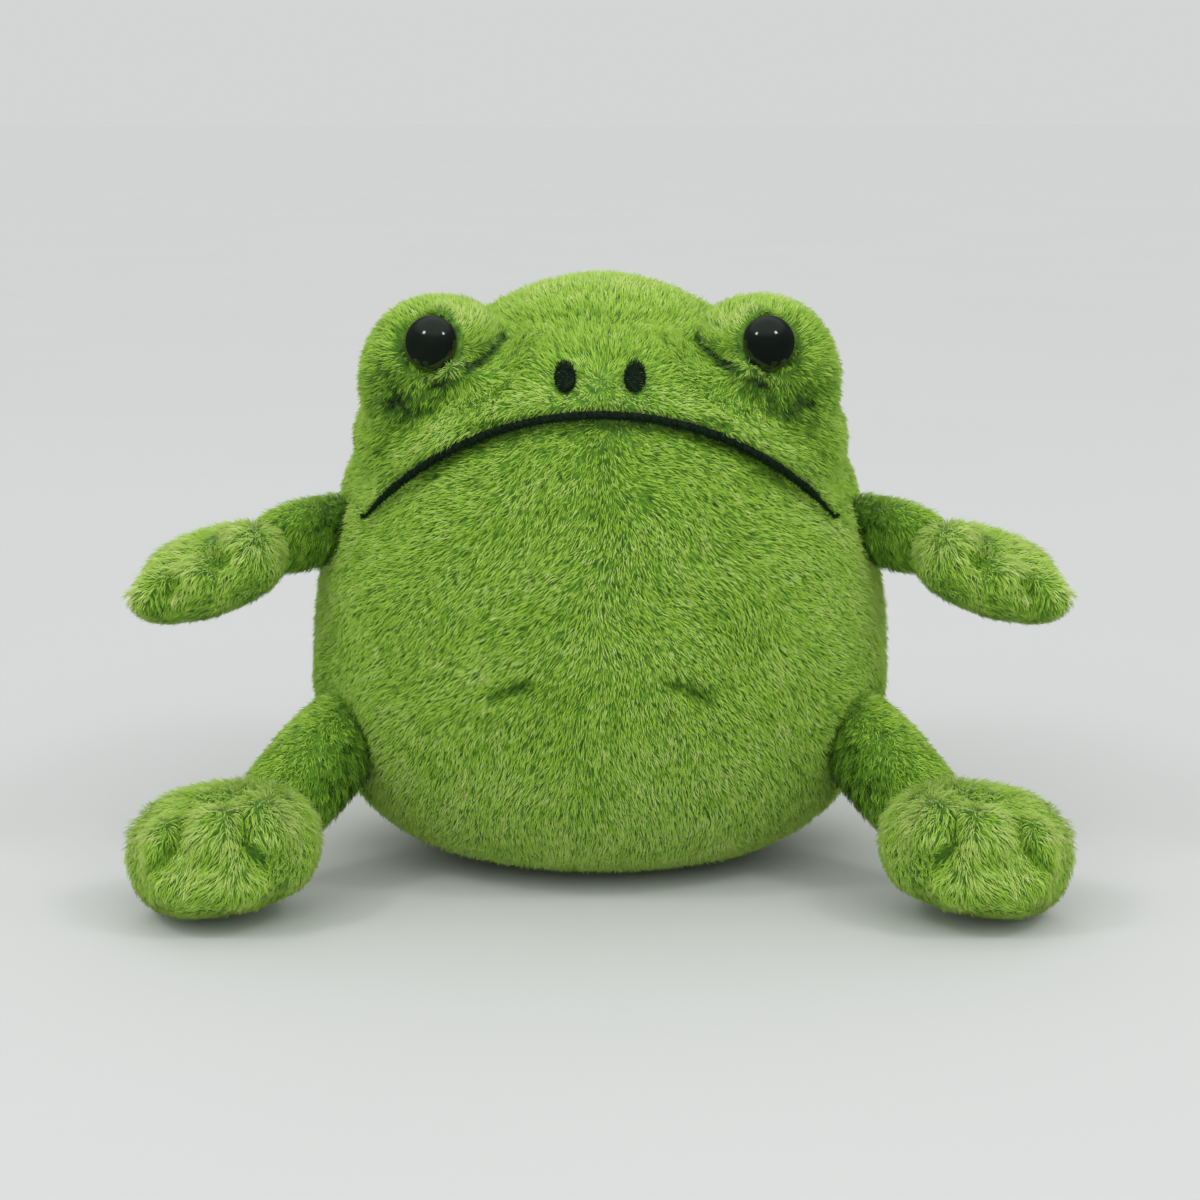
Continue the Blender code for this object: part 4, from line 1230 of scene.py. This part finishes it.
# Materials

def set_inputs(node, **constants):
    """Sets a node's inputs. An underscore stands for a space in an input's name."""
    for name, value in constants.items():
        node.inputs[name.replace("_", " ")].default_value = value


def new_node(tree, kind, **constants):
    """A new shader node with constants on its inputs."""
    node = tree.nodes.new("ShaderNode" + kind)
    set_inputs(node, **constants)
    return node


def new_material(name, **constants):
    """A node material, its node tree and its shader, with constants on the shader's own sockets."""
    material = bpy.data.materials.new(name)
    material.use_nodes = True
    tree = material.node_tree
    shader = tree.nodes["Principled BSDF"]
    set_inputs(shader, **constants)
    return material, tree, shader


def ramp(tree, stops, source):
    """A colour ramp through (place, colour) stops, fed by a socket."""
    node = new_node(tree, "ValToRGB")
    node.color_ramp.interpolation = "EASE"
    elements = node.color_ramp.elements
    while len(elements) < len(stops):
        elements.new(0.5)
    for element, (place, colour) in zip(elements, stops):
        element.position = place
        element.color = (*colour, 1)
    tree.links.new(source, node.inputs["Fac"])
    return node.outputs["Color"]


def multiplied(tree, first, second):
    """The product of two colours."""
    node = new_node(tree, "Mix", Factor=1)
    node.data_type = "RGBA"
    node.blend_type = "MULTIPLY"
    tree.links.new(first, node.inputs["A"])
    tree.links.new(second, node.inputs["B"])
    return node.outputs["Result"]


def noise(tree, scale, detail=2.0):
    """A noise's value in the object's own space."""
    where = new_node(tree, "TexCoord")
    node = new_node(tree, "TexNoise", Scale=scale, Detail=detail)
    tree.links.new(where.outputs["Object"], node.inputs["Vector"])
    return node.outputs["Fac"]


def bump(tree, shader, height, strength, distance):
    """Bumps a shader by a height."""
    node = new_node(tree, "Bump", Strength=strength, Distance=distance)
    tree.links.new(height, node.inputs["Height"])
    tree.links.new(node.outputs["Normal"], shader.inputs["Normal"])


def strand_material(name, tone_stops, sheen):
    """Strands: a tone across the map, and darker roots at its foot, a painted shade deep in the pile."""
    material, tree, shader = new_material(
        name, Roughness=0.62, Specular_IOR_Level=0.12,
        Sheen_Weight=sheen, Sheen_Roughness=0.5, Sheen_Tint=(*SHEEN_TINT, 1),
    )
    where = new_node(tree, "UVMap")
    where.uv_map = FUR_MAP
    parts = new_node(tree, "SeparateXYZ")
    tree.links.new(where.outputs["UV"], parts.inputs["Vector"])
    tones = ramp(tree, tone_stops, parts.outputs["X"])
    # Painted shade: the height ramp darkens each strand towards its root.
    heights = ramp(tree, ROOT_SHADE_STOPS, parts.outputs["Y"])
    tree.links.new(multiplied(tree, tones, heights), shader.inputs["Base Color"])
    return material


def skin_material():
    """The fur's backing and dense undercoat, mottled, with a fine nap, and with painted shade and highlights
    from its shade attribute.
    """
    material, tree, shader = new_material("fur_undercoat", Roughness=0.9, Sheen_Weight=0.2)
    tones = ramp(tree, UNDER_STOPS, noise(tree, 420, 3))
    patches = ramp(tree, ((0.3, (0.80, 0.84, 0.75)), (0.7, (1, 1, 1))), noise(tree, 35, 2))
    # Painted shade and highlights: the shade attribute darkens or lightens the undercoat.
    shade = new_node(tree, "Attribute")
    shade.attribute_name = SHADE
    mottled = multiplied(tree, tones, patches)
    tree.links.new(multiplied(tree, mottled, shade.outputs["Color"]), shader.inputs["Base Color"])
    bump(tree, shader, noise(tree, 900, 2), 0.6, 0.6 * MM)
    return material


def plastic_material(name, tones, roughness, scale, strength):
    """A moulded plastic with slight clouding and the faintest waviness."""
    material, tree, shader = new_material(name, Roughness=roughness, Specular_IOR_Level=0.6)
    tree.links.new(ramp(tree, tones, noise(tree, scale)), shader.inputs["Base Color"])
    bump(tree, shader, noise(tree, scale * 2), strength, 0.1 * MM)
    return material


def thread_material():
    """Dark embroidery and cord: fine plies over a near-black green."""
    material, tree, shader = new_material("dark_thread", Roughness=0.7, Specular_IOR_Level=0.1)
    tones = ((0.3, (0.003, 0.007, 0.004)), (0.7, (0.010, 0.022, 0.012)))
    tree.links.new(ramp(tree, tones, noise(tree, 900, 3)), shader.inputs["Base Color"])
    bump(tree, shader, noise(tree, 2600, 2), 0.5, 0.2 * MM)
    return material


# Stage

def add_object(name, mesh, material):
    """Adds a finished mesh to the scene."""
    mesh.name = name
    mesh.materials.clear()
    mesh.materials.append(material)
    return linked(name, mesh)


def add_lamp(name, kind, place, energy, size):
    """Adds a lamp at a place that shines at the middle of the frog."""
    lamp = bpy.data.lights.new(name, kind)
    lamp.energy = energy
    if kind == "SUN":
        lamp.angle = size
    else:
        lamp.size = size
    obj = linked(name, lamp)
    obj.location = place
    obj.visible_glossy = kind == "AREA"
    aim = CAMERA_TARGET - Vector(place)
    obj.rotation_euler = aim.to_track_quat("-Z", "Y").to_euler()


def add_camera():
    """The camera at the photograph's place."""
    place, forward, _, _ = camera_axes()
    camera = linked("camera", bpy.data.cameras.new("camera"))
    camera.location = place
    camera.rotation_euler = forward.to_track_quat("-Z", "Y").to_euler()
    camera.data.sensor_width = SENSOR_WIDTH
    camera.data.lens = FOCAL_PIXELS * SENSOR_WIDTH / FRAME_SIDE
    camera.data.clip_start = 0.05
    bpy.context.scene.camera = camera
    bpy.context.scene.view_settings.view_transform = "Standard"


def add_stage():
    """A pale floor that runs into a backdrop of the same tone, and soft studio light."""
    bm = bmesh.new()
    bmesh.ops.create_grid(bm, x_segments=2, y_segments=2, size=20)
    material, tree, shader = new_material("floor_paper", Roughness=1, Specular_IOR_Level=0)
    paler = tuple(share * 1.01 for share in BACKDROP)
    tree.links.new(ramp(tree, ((0.3, BACKDROP), (0.7, paler)), noise(tree, 3)), shader.inputs["Base Color"])
    floor = add_object("floor", from_bmesh(bm), material)
    floor.visible_glossy = False
    world = bpy.data.worlds.new("studio")
    world.use_nodes = True
    bpy.context.scene.world = world
    tree = world.node_tree
    links = tree.links
    last = tree.nodes["Background"]
    set_inputs(last, Color=(1, 1, 1, 1), Strength=WORLD_LIGHT)
    shown = new_node(tree, "Background", Color=(*BACKDROP, 1))
    dim = new_node(tree, "Background")
    parts = new_node(tree, "SeparateXYZ")
    links.new(new_node(tree, "TexCoord").outputs["Generated"], parts.inputs["Vector"])
    links.new(ramp(tree, SKY_STOPS, parts.outputs["Z"]), dim.inputs["Color"])
    path = new_node(tree, "LightPath")
    for ray, background in (("Is Glossy Ray", dim), ("Is Camera Ray", shown)):
        mix = new_node(tree, "MixShader")
        links.new(path.outputs[ray], mix.inputs["Fac"])
        links.new(last.outputs[0], mix.inputs[1])
        links.new(background.outputs["Background"], mix.inputs[2])
        last = mix
    links.new(last.outputs[0], tree.nodes["World Output"].inputs["Surface"])
    for name, side in (("right", -1), ("left", 1)):
        add_lamp("sun_" + name, "SUN", (side * 0.8, -1.1, 1.05), SUN_LIGHT, math.radians(60))
        add_lamp("softbox_" + name, "AREA", (side * 0.8, -0.7, 1.1), BOX_LIGHT, BOX_SIZE)
    add_lamp("rim", "SUN", (0, 1.0, 1.5), RIM_LIGHT, math.radians(70))


# The frog

def moves_with(obj, motion):
    """Lets a finished object move with one body. One that lies between two bodies only gets its place baked
    into its mesh.
    """
    if len(motion) == 1:
        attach(obj, motion[0])
    else:
        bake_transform(obj)


def add_skin(name, mesh, material, nodes, motion):
    """Adds a padded skin in the place of CAD nodes."""
    mesh.shade_smooth()
    obj = add_object(name, mesh, material)
    moves_with(obj, motion)
    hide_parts(*nodes)


def add_piece(name, mesh, material, motion=("body",), nodes=()):
    """Adds any other finished piece."""
    obj = add_object(name, mesh, material)
    moves_with(obj, motion)
    if nodes:
        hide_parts(*nodes)


def add_panels(coat, material, rules):
    """Adds a coat in named panels, left and right: each rule takes what the ones before it left."""
    rest = np.ones(len(coat.where), bool)
    on_left = coat.where[:, 0] > 0
    for name, rule in rules:
        panel = rest & rule(*coat.where.T)
        rest &= ~panel
        for side, half in (("left", on_left), ("right", ~on_left)):
            mesh = coat.build(name, np.flatnonzero(panel & half))
            add_piece(f"fur_{name}_{side}", mesh, material)


def in_mound(x, y, z):
    """Whether points lie on an eye mound."""
    away = (np.stack([np.abs(x), y, z], 1) - np.array(mound_centre())) / np.array(MOUND_HALF)
    return np.linalg.norm(away, axis=1) < MOUND_FUR_SHARE


def add_trunk(skin, fur):
    """Adds the body's and the head's skins and fur."""
    body = body_skin_mesh()
    # Painted light and shade in the body's undercoat along the same strokes.
    shaded(body, BODY_PAINTED_SHADING)
    add_skin("body_skin", body, skin, ("body_cover", "body_filling", "pellet_pouch"), ("body",))
    add_panels(body_coat(body), fur, (
        ("belly", lambda x, y, z: (y < BELLY_BACK) & (z < BELLY_TOP)),
        ("throat", lambda x, y, z: y < BELLY_BACK),
        ("flank", lambda x, y, z: (y < FLANK_BACK) & (z < FLANK_TOP)),
        ("shoulder", lambda x, y, z: y < FLANK_BACK),
        ("side", lambda x, y, z: y < SIDE_BACK),
        ("back", lambda x, y, z: y < math.inf),
    ))
    head = head_skin_mesh()
    nodes = ["head_cover", "head_filling"]
    for side in ("left", "right"):
        nodes += [f"eye_mound_cover_{side}", f"eye_mound_filling_{side}"]
    # Painted light and shade in the head's undercoat along the same strokes.
    shaded(head, HEAD_PAINTED_SHADING)
    add_skin("head_skin", head, skin, nodes, ("body",))
    add_panels(head_coat(head), fur, (
        ("eye_mound", in_mound),
        ("snout", lambda x, y, z: y < SNOUT_BACK),
        ("nape", lambda x, y, z: y < math.inf),
    ))


def add_limbs(skin, fur):
    """Adds the limbs' skins and fur, the left ones and their mirror images."""
    limbs = Limbs()
    meshes = limb_skin_meshes(limbs)
    for limb, mesh in meshes.items():
        # Painted shade: the undercoat darker along the paws' creases.
        marks = [(pixels, reach, -0.2) for pixels, reach in creases(LIMB_STROKES[limb])]
        shaded(mesh, marks, mirror=True)
    hand_middle = limbs.wrist + limbs.hand_way * 12 * MM - Vector((0, 0, 4 * MM))
    foot_middle = limbs.ankle + limbs.foot_way * 16 * MM - Vector((0, 0, 6 * MM))
    # Each paw's tones: its own base tone, then a painted highlight on its top.
    coats = {
        "arm": tube_coat(meshes["arm"], 61, limbs.arm_way, 78 * MM, 0.46),
        "hand": paw_coat(
            meshes["hand"], 71, hand_middle, limbs.hand_way, HAND_FUR, (0.53, 0.21), HAND_STROKES, HAND_BUDS
        ),
        "leg": tube_coat(meshes["leg"], 81, limbs.leg_way, 68 * MM, 0.42),
        "foot": paw_coat(
            meshes["foot"], 91, foot_middle, limbs.foot_way, FOOT_FUR, (0.63, 0.12), FOOT_STROKES, FOOT_BUDS
        ),
    }
    for limb, parent, pivot, way, low, high in (
        ("arm", "body", limbs.shoulder, limbs.arm_way, -6 * MM, 12 * MM),
        ("hand", "arm", limbs.wrist, limbs.hand_way, -4 * MM, 10 * MM),
        ("leg", "body", limbs.hip, limbs.leg_way, -8 * MM, 16 * MM),
        ("foot", "leg", limbs.ankle, limbs.foot_way, -4 * MM, 12 * MM),
    ):
        skin_mesh, coat = meshes[limb], coats[limb]
        fur_mesh = coat.build(limb, np.arange(len(coat.where)))
        pairs = {
            "left": (skin_mesh.copy(), fur_mesh.copy()),
            "right": (mirrored(skin_mesh), mirrored_strands(fur_mesh)),
        }
        for side, (skin_half, fur_half) in pairs.items():
            flip = Vector((1 if side == "left" else -1, 1, 1))
            first = parent if parent == "body" else f"{parent}_{side}"
            motion = (first, f"{limb}_{side}", (pivot + way * low) * flip, (pivot + way * high) * flip)
            nodes = (f"{limb}_cover_{side}", f"{limb}_filling_{side}")
            add_skin(f"{limb}_skin_{side}", skin_half, skin, nodes, motion)
            add_piece(f"fur_{limb}_{side}", fur_half, fur, motion)


def add_face():
    """Adds the eyes, the nostrils and the mouth's cord."""
    # Near-black plastic with a faint green, a painted reflection of the green fur round the eye.
    blacks = ((0.3, (0.004, 0.007, 0.005)), (0.7, (0.007, 0.012, 0.008)))
    eye = plastic_material("eye_gloss", blacks, 0.10, 60, 0.02)
    whites = ((0.3, (0.74, 0.74, 0.71)), (0.7, (0.82, 0.82, 0.79)))
    washer = plastic_material("washer_plastic", whites, 0.5, 200, 0.2)
    thread = thread_material()
    tones = ((0.0, (0.004, 0.012, 0.006)), (1.0, (0.026, 0.070, 0.020)))
    dark = strand_material("dark_fuzz", tones, 0)
    for side in ("left", "right"):
        add_piece(f"glossy_eye_{side}", eye_mesh(side), eye, nodes=(f"eye_{side}",))
        node = frame["nodes"][f"eye_washer_{side}"]
        node.data.materials.clear()
        node.data.materials.append(washer)
        nodes = (f"nostril_{side}",)
        add_piece(f"stitched_nostril_{side}", nostril_mesh(side), thread, nodes=nodes)
        add_piece(f"nostril_wisps_{side}", wisps_mesh(side), dark)
    cord = mouth_mesh()
    cord.shade_smooth()
    add_piece("mouth_cord", cord, thread, nodes=("mouth_piping",))
    # The cord's dark fuzz, partly a painted shade under the lip.
    add_piece("mouth_fuzz_and_shade", fuzz_and_shade_mesh(), dark)


def main():
    """Builds the frog's looks."""
    add_camera()
    add_stage()
    skin = skin_material()
    fur = strand_material("fur_strands", TONE_STOPS, 0.15)
    add_trunk(skin, fur)
    add_limbs(skin, fur)
    add_face()


main()
